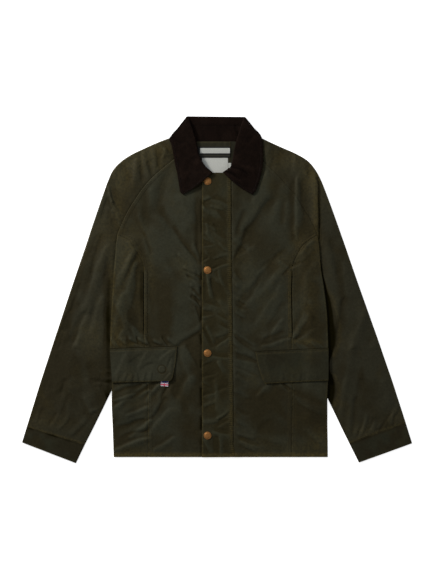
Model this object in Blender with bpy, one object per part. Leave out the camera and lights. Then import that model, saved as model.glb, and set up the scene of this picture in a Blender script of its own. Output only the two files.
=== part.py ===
"""Waxed cotton jacket laid flat on its back, front up, with the sleeves tucked behind the body.

All sizes are in millimetres and become metres in wall(), turned() and slab(). The frame has +X to
the wearer's left, +Y towards the collar and +Z up from the surface that the jacket lies on.
Every cut piece is a closed wall of cloth, and neighbouring pieces stay a seam gap apart.
"""
import math

import bmesh
import bpy
from mathutils import Vector

MM = 0.001

# Driving sizes.
CLOTH = 1.6           # waxed cotton with its lining, one panel
DOUBLE_CLOTH = 2.0    # storm flap, pocket flaps and cuffs
CORDUROY = 2.6        # collar
TAPE = 0.4            # labels, hanger tape and flag tab
TAPE_GAP = 0.3
SEAM_GAP = 0.4        # between pieces that are sewn edge to edge
LAYER_GAP = 0.5       # between pieces that lie on each other
FLAP_GAP = 0.8        # beneath the pocket flaps
BACK_NECK_Y = 338.0   # collar seam at the back neck
HEM_Y = -381.0
SLEEVE_STACK = 2 * CLOTH + LAYER_GAP      # front and back of a sleeve, pressed flat
TUCK_LIFT = SLEEVE_STACK + LAYER_GAP      # the body's sides lie on the sleeves
COLLAR_LIFT = CORDUROY + SEAM_GAP         # the neck lies on the collar's back fall
FOLD_RETURN = 12.0    # how far the body's folded sides run on beneath
SLEEVE_RETURN = 8.0   # the same for the sleeves' outer edges
BODY_CROWN = 2.9      # fullness of the fronts over the back
SLEEVE_CROWN = 2.2

# Sections of the body from neck to hem: the raglan seams down to the armholes at y = 124 and the
# folded sides below them, with the princess seams between front and side front.
BODY_COLUMNS = ("y", "side_right", "princess_right", "princess_left", "side_left")
BODY_SECTIONS = (
    (314, -77.0, -77.0, 82.5, 82.5),
    (296, -99.4, -99.4, 101.5, 101.5),
    (281, -118.0, -118.0, 119.5, 119.5),
    (262, -140.0, -140.0, 139.0, 139.0),
    (238, -163.0, -163.0, 160.0, 160.0),
    (214, -180.5, -180.5, 181.0, 181.0),
    (185, -199.0, -199.0, 198.0, 198.0),
    (164, -210.5, -210.5, 211.5, 211.5),
    (139, -221.5, -221.5, 224.5, 224.5),
    (124, -227.0, -222.0, 227.0, 230.5),
    (119, -227.6, -211.0, 219.5, 231.1),
    (113, -228.3, -199.0, 211.0, 231.8),
    (102, -229.3, -190.0, 197.0, 233.0),
    (85, -230.5, -180.0, 186.0, 234.5),
    (62, -232.5, -168.0, 175.0, 236.2),
    (44, -234.0, -165.3, 170.5, 238.0),
    (0, -237.0, -165.3, 169.0, 245.0),
    (-60, -240.5, -165.3, 169.7, 251.5),
    (-101, -242.2, -165.3, 170.4, 253.2),
    (-130, -243.0, -163.5, 170.8, 254.0),
    (-170, -240.7, -160.5, 171.6, 254.0),
    (-210, -238.5, -157.5, 172.3, 253.5),
    (-250, -239.3, -156.2, 172.0, 251.7),
    (-300, -237.8, -155.8, 171.4, 252.0),
    (-345, -236.2, -155.3, 170.8, 252.7),
    (HEM_Y, -235.0, -155.0, 170.3, 253.0),
)

# Front neck edges, beneath the collar, and the back raglan seams above the armholes.
NECK_COLUMNS = ("y", "right", "left")
NECK_EDGES = (
    (314, -73.0, 78.0),
    (296, -62.0, 66.0),
    (281, -46.0, 50.0),
    (262, -20.0, 24.0),
    (254, 3.0, 3.5),
    (HEM_Y, 3.0, 3.5),
)
BACK_RAGLAN = (
    (338, -58.0, 60.0),
    (314, -90.0, 93.0),
    (281, -127.0, 128.0),
    (238, -168.0, 166.0),
    (185, -201.0, 200.0),
    (124, -227.0, 230.5),
)

# Rows across each sleeve from neck to cuff seam: the folded outer edge and the inner edge, which
# is the raglan seam, then the stretch hidden beneath the body, then the underarm seam.
# Columns: outer x, outer y, inner x, inner y.
SLEEVE_RIGHT = (
    (-93.0, 350.5, -71.0, 318.0),
    (-107.6, 345.4, -77.0, 314.0),
    (-140.0, 333.2, -99.4, 296.0),
    (-165.0, 322.0, -118.0, 281.0),
    (-192.0, 309.2, -140.0, 262.0),
    (-217.5, 292.6, -163.0, 238.0),
    (-236.7, 272.0, -180.5, 214.0),
    (-249.0, 245.0, -199.0, 185.0),
    (-259.0, 217.0, -210.5, 164.0),
    (-271.0, 182.5, -221.5, 139.0),
    (-277.5, 163.4, -227.0, 124.0),
    (-284.0, 144.3, -230.5, 108.0),
    (-291.0, 122.6, -231.5, 97.0),
    (-299.0, 98.5, -221.0, 76.0),
    (-309.9, 66.8, -212.0, 40.0),
    (-325.4, 21.2, -210.0, -10.0),
    (-340.6, -24.4, -210.5, -65.0),
    (-355.6, -70.0, -211.0, -118.0),
    (-370.7, -115.6, -212.0, -168.0),
    (-385.5, -161.0, -222.0, -198.0),
    (-400.4, -206.8, -241.2, -233.0),
    (-414.5, -252.0, -261.8, -275.0),
    (-424.0, -283.0, -280.0, -312.0),
    (-432.5, -310.5, -299.8, -351.2),
)
SLEEVE_LEFT = (
    (92.0, 349.8, 76.0, 318.0),
    (103.1, 344.7, 82.5, 314.0),
    (130.0, 332.3, 101.5, 296.0),
    (155.0, 321.4, 119.5, 281.0),
    (182.0, 309.3, 139.0, 262.0),
    (207.0, 294.0, 160.0, 238.0),
    (225.5, 272.0, 181.0, 214.0),
    (238.5, 247.0, 198.0, 185.0),
    (250.0, 218.0, 211.5, 164.0),
    (262.5, 184.4, 224.5, 139.0),
    (270.0, 163.6, 230.5, 124.0),
    (277.0, 143.9, 234.5, 108.0),
    (284.5, 122.8, 236.0, 97.0),
    (293.0, 98.6, 226.5, 76.0),
    (303.9, 66.8, 219.0, 40.0),
    (319.7, 21.2, 217.5, -10.0),
    (335.8, -24.4, 220.0, -65.0),
    (352.0, -70.0, 222.0, -118.0),
    (368.2, -115.6, 224.0, -168.0),
    (383.8, -161.2, 232.0, -207.0),
    (399.5, -206.8, 252.2, -246.7),
    (413.5, -250.0, 266.5, -276.5),
    (421.6, -275.0, 281.0, -307.0),
    (429.8, -300.6, 301.0, -347.8),
)
CUFF_END_RIGHT = (-443.9, -347.5, -320.8, -394.9)
CUFF_END_LEFT = (445.0, -349.6, 323.8, -393.6)

# Rows down each front wing of the collar: the rolled inner edge, the free outer edge, and how far
# the row bows towards the hem halfway across.
# Columns: inner x, inner y, outer x, outer y, bow.
WING_RIGHT = (
    (-62.5, 384.5, -76.5, 383.5, 0.0),
    (-59.0, 376.0, -88.0, 369.0, 0.0),
    (-54.0, 362.0, -101.0, 353.0, 0.0),
    (-48.5, 345.0, -107.8, 343.5, 0.0),
    (-45.0, 328.0, -103.3, 330.0, 0.0),
    (-42.0, 311.0, -98.6, 307.0, 0.0),
    (-36.5, 298.0, -95.0, 286.0, 0.0),
    (-30.5, 287.5, -90.0, 264.0, 1.0),
    (-24.0, 279.0, -86.5, 243.0, 1.0),
    (-18.0, 273.5, -82.6, 222.5, 2.0),
    (-9.8, 267.2, -77.1, 217.1, 4.0),
)
WING_LEFT = (
    (58.5, 384.0, 72.0, 383.0, 0.0),
    (55.5, 375.0, 83.5, 369.0, 0.0),
    (51.0, 360.0, 95.0, 354.3, 0.0),
    (45.8, 344.0, 103.3, 343.0, 0.0),
    (41.5, 328.0, 104.8, 328.0, 0.0),
    (38.2, 312.0, 105.3, 306.0, 0.0),
    (36.0, 299.0, 104.4, 286.0, 0.0),
    (34.2, 288.5, 100.5, 265.0, 1.0),
    (30.0, 278.0, 95.1, 244.5, 2.0),
    (22.0, 272.8, 87.5, 225.0, 3.0),
    (13.0, 267.2, 80.5, 217.4, 5.0),
)

# Largest folds: a soft ridge or trough between two points, with its spread and its height.
# Columns: name, x0, y0, x1, y1, spread, height.
FOLDS = (
    ("chest ridge right", -88, 200, -64, 145, 15, 1.6),
    ("chest trough right", -110, 270, -157, 148, 15, -1.5),
    ("breast trough right", -127, 177, -98, 132, 13, -1.5),
    ("drag to the storm flap right", -98, 130, -52, 70, 13, -1.4),
    ("side ridge right", -192, 84, -212, 42, 12, 1.3),
    ("pocket drag right", -199, -48, -176, -92, 12, -1.3),
    ("under flap trough right", -120, -228, -180, -248, 13, -1.2),
    ("under flap ridge right", -130, -262, -214, -290, 13, 1.3),
    ("hem drag right", -165, -338, -215, -362, 12, 1.0),
    ("chest ridge left", 128, 264, 116, 222, 13, 1.3),
    ("armhole band left", 183, 245, 181, 130, 14, 1.3),
    ("long chest trough left", 121, 193, 58, 88, 15, -1.7),
    ("princess drag left", 154, 91, 105, 54, 13, -1.3),
    ("pocket drag left", 178, -108, 211, -60, 12, 1.3),
    ("waist ridge left", 158, -96, 112, -112, 12, 1.1),
    ("shoulder trough right", -212, 268, -206, 242, 11, -1.2),
    ("shoulder ridge right", -193, 275, -188, 240, 11, 1.2),
    ("armhole notch right", -240, 240, -222, 184, 12, -1.5),
    ("armhole tuck ridge left", 227, 250, 229, 150, 10, 1.9),
    ("armhole tuck trough left", 244, 238, 250, 150, 11, -1.5),
    ("elbow trough right", -307, -58, -326, -110, 15, -1.5),
    ("forearm ridge right", -330, -150, -345, -250, 16, 1.2),
    ("forearm trough right", -289, -180, -300, -230, 15, -1.3),
    ("elbow ridge left", 344, -39, 307, -130, 15, 2.0),
    ("forearm ridge left", 307, -130, 281, -290, 14, 1.8),
    ("cuff drag left", 355, -290, 385, -262, 12, 1.2),
)

COLOURS = {
    "waxed_cotton": ((0.035, 0.032, 0.017, 1.0), 0.62, 0.0),
    "corduroy": ((0.011, 0.006, 0.005, 1.0), 0.9, 0.0),
    "antique_brass": ((0.28, 0.15, 0.06, 1.0), 0.4, 1.0),
    "dark_tape": ((0.008, 0.008, 0.007, 1.0), 0.8, 0.0),
    "label_white": ((0.7, 0.7, 0.66, 1.0), 0.8, 0.0),
    "flag_tab": ((0.05, 0.07, 0.3, 1.0), 0.7, 0.0),
}


def clear_scene():
    """Start from an empty scene."""
    for item in list(bpy.data.objects):
        bpy.data.objects.remove(item, do_unlink=True)


def ramp(value, start, end):
    """Rise smoothly from 0 where value is start to 1 where it is end."""
    share = min(max((value - start) / (end - start), 0.0), 1.0)
    return share * share * (3.0 - 2.0 * share)


def mix(a, b, share):
    """Go from a to b."""
    return a + (b - a) * share


def read(table, columns, y, column):
    """Read a column at height y from a table whose first column is y, falling."""
    place = columns.index(column)
    if y >= table[0][0]:
        return table[0][place]
    for upper, lower in zip(table, table[1:]):
        if y >= lower[0]:
            return mix(lower[place], upper[place], (y - lower[0]) / (upper[0] - lower[0]))
    return table[-1][place]


def body(y, column):
    """Read the body's sections."""
    return read(BODY_SECTIONS, BODY_COLUMNS, y, column)


def body_rows(top, bottom, step=26.0):
    """Heights from top to bottom at every section, with more between where sections are far."""
    knots = [section[0] for section in BODY_SECTIONS if bottom < section[0] < top]
    knots = [top] + knots + [bottom]
    rows = [top]
    for upper, lower in zip(knots, knots[1:]):
        count = max(1, math.ceil((upper - lower) / step))
        rows += [mix(upper, lower, (index + 1) / count) for index in range(count)]
    return rows


def finer(rows, step):
    """Add rows between a table's rows, so that outer ends are at most a step apart."""
    result = [rows[0]]
    for first, second in zip(rows, rows[1:]):
        span = math.hypot(second[0] - first[0], second[1] - first[1])
        count = max(1, math.ceil(span / step))
        for index in range(count):
            share = (index + 1) / count
            result.append(tuple(mix(a, b, share) for a, b in zip(first, second)))
    return result


def body_edge(x, y):
    """Distance of the body's side from the centre line, on the side that x is on."""
    return abs(body(min(y, 124.0), "side_left" if x > 0 else "side_right"))


def tuck_lift(x, y, rise=(130.0, 102.0), fall=(-268.0, -314.0)):
    """Height that the body gains on a tucked sleeve, between the heights where it rises and falls."""
    across = ramp(abs(x) / body_edge(x, y), 0.75, 0.86)
    return TUCK_LIFT * across * ramp(-y, -rise[0], -rise[1]) * (1.0 - ramp(-y, -fall[0], -fall[1]))


def neck_lift(x, y):
    """Height that the neck gains where it lies on the collar's back fall."""
    return COLLAR_LIFT * ramp(y, 296.0, 322.0) * (1.0 - ramp(abs(x), 116.0, 152.0))


def folds(x, y):
    """Sum of the largest folds at a place."""
    total = 0.0
    for _, x0, y0, x1, y1, spread, height in FOLDS:
        run = Vector((x1 - x0, y1 - y0))
        share = min(max((Vector((x - x0, y - y0)).dot(run)) / run.length_squared, 0.0), 1.0)
        distance = math.hypot(x - x0 - run.x * share, y - y0 - run.y * share)
        total += height * math.exp(-((distance / spread) ** 2))
    return total


def body_crown(x, y):
    """Fullness of the fronts, least at the sides, the hem and the neck."""
    across = max(0.0, 1.0 - (x / body_edge(x, y)) ** 2)
    along = mix(1.0, 0.12, ramp(y, 235.0, 310.0)) * mix(0.3, 1.0, ramp(y, HEM_Y, -325.0))
    return BODY_CROWN * across * along


def body_under(x, y):
    """Lower face of the fronts' folded sides."""
    return tuck_lift(x, y) + neck_lift(x, y)


def back_under(x, y):
    """Lower face of the back panel, which leaves the floor a little below the armholes."""
    return tuck_lift(x, y, (121.0, 98.0), (-250.0, -296.0)) + neck_lift(x, y)


def fold_return(y):
    """How far the folded side runs on beneath, less where it leaves the armhole."""
    return mix(1.0, FOLD_RETURN, ramp(-y, -119.0, -98.0))


def front_top(x, y):
    """Upper face of the fronts and side fronts."""
    return body_under(x, y) + SLEEVE_STACK + max(0.0, body_crown(x, y) + folds(x, y))


def make_material(name):
    """One Principled material for each kind of cloth or metal."""
    existing = bpy.data.materials.get(name)
    if existing:
        return existing
    colour, roughness, metallic = COLOURS[name]
    material = bpy.data.materials.new(name)
    material.use_nodes = True
    shader = material.node_tree.nodes["Principled BSDF"]
    shader.inputs["Base Color"].default_value = colour
    shader.inputs["Roughness"].default_value = roughness
    shader.inputs["Metallic"].default_value = metallic
    material.diffuse_color = colour
    return material


def add_object(name, points, faces, material):
    """Make a closed object from points in millimetres, with its faces pointing out."""
    mesh = bpy.data.meshes.new(name)
    mesh.from_pydata([Vector(point) * MM for point in points], [], faces)
    shape = bmesh.new()
    shape.from_mesh(mesh)
    bmesh.ops.recalc_face_normals(shape, faces=shape.faces)
    shape.to_mesh(mesh)
    shape.free()
    mesh.materials.append(make_material(material))
    mesh.shade_smooth()
    mesh.set_sharp_from_angle(angle=math.radians(40))
    item = bpy.data.objects.new(name, mesh)
    bpy.context.collection.objects.link(item)
    return item


def wall(name, rows, thickness, material="waxed_cotton", closed=False):
    """Thicken a grid of middle points to both sides; a closed grid's rows are rings."""
    height, width = len(rows), len(rows[0])

    def middle(row, column):
        row = min(max(row, 0), height - 1)
        column = column % width if closed else min(max(column, 0), width - 1)
        return Vector(rows[row][column])

    def facing(row, column):
        """Normal of the cell that starts at a row and column, or none past the grid's edge."""
        if row < 0 or row > height - 2 or (not closed and (column < 0 or column > width - 2)):
            return Vector((0.0, 0.0, 0.0))
        first = middle(row + 1, column + 1) - middle(row, column)
        second = middle(row + 1, column) - middle(row, column + 1)
        return first.cross(second)

    points = []
    for side in (0.5, -0.5):
        for row in range(height):
            for column in range(width):
                cells = [facing(row - down, column - across) for down in (0, 1) for across in (0, 1)]
                normal = sum(cells, Vector((0.0, 0.0, 0.0))).normalized()
                points.append(middle(row, column) + normal * (side * thickness))
    other = height * width

    def index(row, column):
        return row * width + column % width

    faces = []
    for row in range(height - 1):
        for column in range(width if closed else width - 1):
            a, b = index(row, column), index(row, column + 1)
            c, d = index(row + 1, column + 1), index(row + 1, column)
            faces += [(a, b, c, d), (other + d, other + c, other + b, other + a)]
    for row in (0, height - 1):
        for column in range(width if closed else width - 1):
            a, b = index(row, column), index(row, column + 1)
            faces.append((a, b, other + b, other + a))
    if not closed:
        for column in (0, width - 1):
            for row in range(height - 1):
                a, b = index(row, column), index(row + 1, column)
                faces.append((a, b, other + b, other + a))
    return add_object(name, points, faces, material)


def slab(name, x0, x1, y0, y1, bottom, thickness, material, columns=4, rows=2, turn=0.0):
    """A small flat piece on a surface whose height is bottom(x, y), turned about its middle."""
    centre = Vector(((x0 + x1) / 2, (y0 + y1) / 2))
    grid = []
    for row in range(rows + 1):
        line = []
        for column in range(columns + 1):
            x = mix(x0, x1, column / columns) - centre.x
            y = mix(y1, y0, row / rows) - centre.y
            px = centre.x + x * math.cos(turn) - y * math.sin(turn)
            py = centre.y + x * math.sin(turn) + y * math.cos(turn)
            line.append((px, py, bottom(px, py) + thickness / 2))
        grid.append(line)
    return wall(name, grid, thickness, material)


def turned(name, profile, centre, material, segments=16):
    """Turn a profile of (radius, height) pairs, which starts and ends on the axis."""
    points = [(centre[0], centre[1], centre[2] + profile[0][1])]
    for radius, height in profile[1:-1]:
        for segment in range(segments):
            angle = 2 * math.pi * segment / segments
            points.append((centre[0] + radius * math.cos(angle), centre[1] + radius * math.sin(angle),
                           centre[2] + height))
    points.append((centre[0], centre[1], centre[2] + profile[-1][1]))
    last = len(points) - 1
    rings = len(profile) - 2
    faces = []
    for segment in range(segments):
        after = (segment + 1) % segments
        faces.append((0, 1 + after, 1 + segment))
        top = 1 + (rings - 1) * segments
        faces.append((last, top + segment, top + after))
        for ring in range(rings - 1):
            low = 1 + ring * segments
            high = low + segments
            faces.append((low + segment, low + after, high + after, high + segment))
    return add_object(name, points, faces, material)


def folded_edge(under, top, thickness, back=FOLD_RETURN, steps=4):
    """Middle line of cloth folded round an edge, as (distance in from the edge, height) pairs."""
    radius = (top - under) / 2
    bend = radius - thickness / 2
    line = [(radius + back, under + thickness / 2)]
    for step in range(steps + 1):
        angle = math.pi * (step / steps - 0.5)
        line.append((radius - bend * math.cos(angle), under + radius + bend * math.sin(angle)))
    return line


def make_back():
    """Back panel, from the neck seam to the hem and between the two side seams."""
    shares = (1.0, 0.92, 0.86, 0.8, 0.5, 0.2)
    rows = []
    for y in body_rows(BACK_NECK_Y, HEM_Y, 36.0):
        right = -read(BACK_RAGLAN, NECK_COLUMNS, y, "right") - SEAM_GAP / 2
        left = read(BACK_RAGLAN, NECK_COLUMNS, y, "left") - SEAM_GAP / 2
        if y < 124.0:
            inset = fold_return(y) + SLEEVE_STACK / 2 + SEAM_GAP
            right = -body(y, "side_right") - inset
            left = body(y, "side_left") - inset
        across = [-right * share for share in shares] + [left * share for share in reversed(shares)]
        rows.append([(x, y, back_under(x, y) + CLOTH / 2) for x in across])
    wall("back_panel", rows, CLOTH)


def make_front(side):
    """Centre front, between the raglan and princess seams and the closure."""
    sign = -1 if side == "right" else 1
    rows = []
    for y in body_rows(314.0, HEM_Y):
        seam = body(y, "princess_" + side) - sign * SEAM_GAP / 2
        edge = read(NECK_EDGES, NECK_COLUMNS, y, side) + sign * SEAM_GAP / 2
        line = []
        for column in range(9):
            x = mix(seam, edge, column / 8)
            line.append((x, y, front_top(x, y) - CLOTH / 2))
        rows.append(line)
    wall("front_" + side, rows, CLOTH)


def make_side_front(side):
    """Side front, from the princess seam round the folded side to the side seam beneath."""
    sign = -1 if side == "right" else 1
    slit_opening = 1.4
    rows = []
    for y in body_rows(119.0, HEM_Y):
        edge = body(y, "side_" + side)
        slit = slit_opening * ramp(y, -112.0, -92.0) * (1.0 - ramp(y, WELT_TOP_Y - 14.0, WELT_TOP_Y + 6.0))
        seam = body(y, "princess_" + side) + sign * (SEAM_GAP / 2 + slit)
        top = front_top(edge, y)
        line = []
        for distance, height in folded_edge(body_under(edge, y), top, CLOTH, fold_return(y)):
            line.append((edge - sign * distance, y, height))
        start = abs(line[-1][0])
        knots = [mix(start, abs(seam), share) for share in (0.25, 0.5, 0.75, 1.0)]
        line += [(sign * x, y, front_top(sign * x, y) - CLOTH / 2) for x in knots]
        rows.append(line)
    wall("side_front_" + side, rows, CLOTH)


def sleeve_top(x, y, share):
    """Upper face of a sleeve; share runs from its outer edge to its inner edge or the body."""
    raglan = ramp(y, 98.0, 150.0)
    crown = SLEEVE_CROWN * 4 * share * (1 - share) * mix(1.0, 0.35, raglan)
    fullness = mix(0.0, body_crown(x, y), raglan) + crown
    visible = ramp(1.0 - share, 0.0, 0.12) if y < 124.0 else 1.0
    return neck_lift(x, y) + SLEEVE_STACK + max(0.0, fullness + folds(x, y) * visible)


def make_sleeve(side):
    """Raglan sleeve in two halves; the front half folds round the outer edge."""
    table = SLEEVE_RIGHT if side == "right" else SLEEVE_LEFT
    front_rows = []
    back_rows = []
    for outer_x, outer_y, inner_x, inner_y in finer(table, 36.0):
        outer = Vector((outer_x, outer_y))
        inner = Vector((inner_x, inner_y))
        inward = (inner - outer).normalized()
        length = (inner - outer).length
        seam = length - SEAM_GAP / 2 - (0.0 if inner_y < 124.0 else SEAM_GAP / 2)
        under = neck_lift(outer_x, outer_y)
        fold = folded_edge(under, under + SLEEVE_STACK, CLOTH, SLEEVE_RETURN)
        start = fold[-1][0]
        line = []
        for distance, height in fold:
            place = outer + inward * distance
            line.append((place.x, place.y, height))
        for index in range(1, 7):
            reach = mix(start, seam, index / 6)
            place = outer + inward * reach
            limit = length
            if inner_y < 124.0:
                hidden = abs(body(place.y, "side_" + side)) - abs(inner_x)
                limit = length - max(0.0, hidden) * length / max(1.0, abs(outer_x - inner_x))
            share = min(reach / limit, 1.0)
            line.append((place.x, place.y, sleeve_top(place.x, place.y, share) - CLOTH / 2))
        front_rows.append(line)
        if inner_y >= 124.0:
            inner = Vector((read(BACK_RAGLAN, NECK_COLUMNS, inner_y, side), inner_y))
            inward = (inner - outer).normalized()
            seam = (inner - outer).length - 2 * SEAM_GAP
        back_start = start + SLEEVE_RETURN + SEAM_GAP
        line = []
        for index in range(4):
            place = outer + inward * mix(back_start, seam, index / 3)
            line.append((place.x, place.y, neck_lift(place.x, place.y) + CLOTH / 2))
        back_rows.append(line)
    wall("sleeve_front_" + side, front_rows, CLOTH)
    wall("sleeve_back_" + side, back_rows, CLOTH)


def make_cuff(side):
    """Cuff band, a flat tube beyond the sleeve's end."""
    table = SLEEVE_RIGHT if side == "right" else SLEEVE_LEFT
    end = CUFF_END_RIGHT if side == "right" else CUFF_END_LEFT
    start = table[-1]
    height = 2 * DOUBLE_CLOTH + 0.6
    crown = 1.0
    rows = []
    for index in range(4):
        share = mix(0.015, 1.0, index / 3)
        outer = Vector((mix(start[0], end[0], share), mix(start[1], end[1], share)))
        inner = Vector((mix(start[2], end[2], share), mix(start[3], end[3], share)))
        inward = (inner - outer).normalized()
        length = (inner - outer).length
        half = folded_edge(0.0, height, DOUBLE_CLOTH)[1:]
        ring = [(distance, z) for distance, z in half]
        for column in range(1, 6):
            ring.append((mix(half[-1][0], length - half[-1][0], column / 6),
                         half[-1][1] + crown * math.sin(math.pi * column / 6)))
        ring += [(length - distance, z) for distance, z in reversed(half)]
        for column in range(5, 0, -1):
            ring.append((mix(half[0][0], length - half[0][0], column / 6), half[0][1]))
        rows.append([(outer.x + inward.x * s, outer.y + inward.y * s, z) for s, z in ring])
    wall("cuff_" + side, rows, DOUBLE_CLOTH, closed=True)


STORM_RIGHT_X = -33.4
STORM_TOP_Y = 266.3


def storm_left_x(y):
    """Sewn edge of the storm flap, which flares at the hem."""
    return mix(38.0, 34.2, ramp(y, -340.0, 250.0)) + 4.0 * ramp(-y, 340.0, -HEM_Y)


def storm_lift(x, y):
    """How far the storm flap's free edge stands off the front."""
    edge = 1.0 - ramp(x, STORM_RIGHT_X, -8.0)
    waves = 0.9 + 0.5 * math.sin(y / 19.0) + 0.5 * math.sin(y / 31.0 + 1.0)
    return edge * max(0.0, waves) * (1.0 - ramp(y, 190.0, 225.0))


def storm_top(x, y):
    """Upper face of the storm flap."""
    return front_top(x, y) + LAYER_GAP + storm_lift(x, y) + DOUBLE_CLOTH


def make_storm_flap():
    """Storm flap over the closure, sewn along the wearer's left and snapped on the right."""
    rows = []
    for y in body_rows(STORM_TOP_Y, HEM_Y):
        line = []
        for share in (0.0, 0.2, 0.5, 1.0):
            x = mix(STORM_RIGHT_X, storm_left_x(y), share)
            line.append((x, y, storm_top(x, y) - DOUBLE_CLOTH / 2))
        rows.append(line)
    wall("storm_flap", rows, DOUBLE_CLOTH)


SNAP_X = -21.0
SNAP_HEIGHTS = (246.9, 44.7, -144.1, -331.3)
SNAP_RADIUS = 8.8


def make_snaps():
    """Four closed snaps: a domed cap in a rolled rim."""
    for number, y in enumerate(SNAP_HEIGHTS, 1):
        reach = SNAP_RADIUS
        seats = [storm_top(SNAP_X + reach * math.cos(turn), y + reach * math.sin(turn))
                 for turn in [math.pi * step / 4 for step in range(8)]]
        seat = max(seats + [storm_top(SNAP_X, y)]) + 0.35
        profile = ((0.0, 0.0), (SNAP_RADIUS, 0.0), (SNAP_RADIUS, 0.7), (SNAP_RADIUS - 0.9, 1.1),
                   (SNAP_RADIUS - 1.6, 0.9), (SNAP_RADIUS - 2.4, 1.6), (3.6, 2.2), (0.0, 2.5))
        turned("snap_%d" % number, profile, (SNAP_X, y, seat), "antique_brass")


WELT_WIDTH = 6.5
WELT_CLOTH = 1.2
WELT_TOP_Y = 44.0
WELT_LOW_Y = {"right": -101.0, "left": -108.0}


def make_welt(side):
    """Narrow welt along the hand-warmer pocket's slit, on the front's edge."""
    sign = -1 if side == "right" else 1
    rows = []
    for y in body_rows(WELT_TOP_Y, WELT_LOW_Y[side]):
        edge = body(y, "princess_" + side) - sign * SEAM_GAP
        line = []
        for share in (0.0, 0.5, 1.0):
            x = edge - sign * WELT_WIDTH * share
            line.append((x, y, front_top(x, y) + LAYER_GAP + WELT_CLOTH / 2))
        rows.append(line)
    wall("pocket_welt_" + side, rows, WELT_CLOTH)


# Lower pocket flaps. Columns: the inner end's x and y at the top edge, then at the bottom edge, and
# the heights of the two edges at the body's side.
FLAPS = {
    "right": (-91.2, -127.7, -102.8, -207.0, -133.4, -210.7),
    "left": (87.6, -140.0, 107.8, -213.0, -131.8, -205.7),
}


def flap_standoff(side, x, y):
    """How far a pocket flap stands off the front, most at its inner lower corner."""
    _, _, inner_low_x, inner_low_y, _, _ = FLAPS[side]
    low = ramp(-y, 168.0, -inner_low_y)
    inner = 1.0 - ramp(abs(x), abs(inner_low_x), abs(inner_low_x) + 32.0)
    return 1.8 * low + 1.2 * inner * mix(0.5, 1.0, low)


def make_pocket_flap(side):
    """Lower pocket flap, from its inner end to the folded side of the body."""
    inner_top_x, inner_top_y, inner_low_x, inner_low_y, side_top_y, side_low_y = FLAPS[side]
    columns = 10
    rows = []
    bands = 6
    end_bow = 2.5
    for row in range(bands + 1):
        down = row / bands
        line = []
        for column in range(columns + 1):
            share = column / columns
            bow = end_bow * math.sin(math.pi * down) * (1 - share)
            y = mix(mix(inner_top_y, inner_low_y, down), mix(side_top_y, side_low_y, down), share)
            edge = body(y, "side_" + side)
            inner_x = mix(inner_top_x, inner_low_x, down)
            x = mix(inner_x, edge, share) + (bow if side == "right" else -bow)
            z = front_top(x, y) + FLAP_GAP + flap_standoff(side, x, y) + DOUBLE_CLOTH / 2
            line.append((x, y, z))
        rows.append(line)
    wall("pocket_flap_" + side, rows, DOUBLE_CLOTH)


def make_flag_tab():
    """Small folded woven tab that hangs from beneath the right pocket flap."""
    slab("flag_tab", -126.8, -108.8, -220.5, -202.0, lambda x, y: front_top(x, y) + 0.4, TAPE, "flag_tab",
         columns=2, turn=math.radians(-4))


def wing_base(x, y):
    """Lower face of the front wings, which ride over the storm flap near the closure."""
    return 8.3 + 2.2 * (1.0 - ramp(abs(x), 40.0, 62.0)) * (1.0 - ramp(y, 288.0, 325.0))


def make_wing(side):
    """Front wing of the collar, rolled at its inner edge."""
    table = WING_RIGHT if side == "right" else WING_LEFT
    roll = 2 * CORDUROY + 0.6
    rows = []
    for inner_x, inner_y, outer_x, outer_y, bow in finer(table, 24.0):
        inner = Vector((inner_x, inner_y))
        outer = Vector((outer_x, outer_y))
        outward = (outer - inner).normalized()
        length = (outer - inner).length
        base = wing_base(inner.x, inner.y)
        line = []
        for distance, z in folded_edge(base, base + roll, CORDUROY, min(9.0, length * 0.14)):
            line.append((inner.x + outward.x * distance, inner.y + outward.y * distance, z))
        for index in range(1, 5):
            share = index / 4
            place = inner + outward * mix(roll / 2, length, share)
            drop = (roll - CORDUROY) * ramp(share, 0.0, 1.0)
            sag = bow * 4 * share * (1 - share)
            level = mix(base, wing_base(place.x, place.y), share)
            line.append((place.x, place.y - sag, level + roll - CORDUROY / 2 - drop))
        rows.append(line)
    wall("collar_wing_" + side, rows, CORDUROY, "corduroy")


STAND_SEAM_Y = 374.6
COLLAR_TOP_Y = 393.6


def make_collar_back():
    """Back of the collar: the stand inside the neck, and the fall that folds over behind it."""
    under = COLLAR_LIFT
    rows = []
    for row in range(4):
        y = mix(STAND_SEAM_Y - SEAM_GAP, BACK_NECK_Y + SEAM_GAP, row / 3)
        half = mix(66.0, 55.0, row / 3)
        line = []
        for column in range(9):
            x = mix(-half - 1.5, half - 1.5, column / 8)
            line.append((x, y, under + CORDUROY / 2))
        rows.append(line)
    wall("collar_stand", rows, CORDUROY, "corduroy")
    fall_low_y = 327.0
    rows = []
    for column in range(9):
        share = column / 8 * 2 - 1
        line = []
        top = COLLAR_LIFT + CORDUROY
        for distance, z in reversed(folded_edge(0.0, top, CORDUROY, 1.0, 6)):
            line.append((share * 66.0 - 1.8, COLLAR_TOP_Y - distance, z))
        line.insert(0, (share * 66.0 - 1.8, STAND_SEAM_Y + SEAM_GAP, top - CORDUROY / 2))
        for y in (372.0, 350.0, fall_low_y):
            half = mix(66.0, 104.0, ramp(-y, -COLLAR_TOP_Y, -345.0))
            line.append((share * half - 1.8, y, CORDUROY / 2))
        rows.append(line)
    wall("collar_fall_back", rows, CORDUROY, "corduroy")


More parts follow.
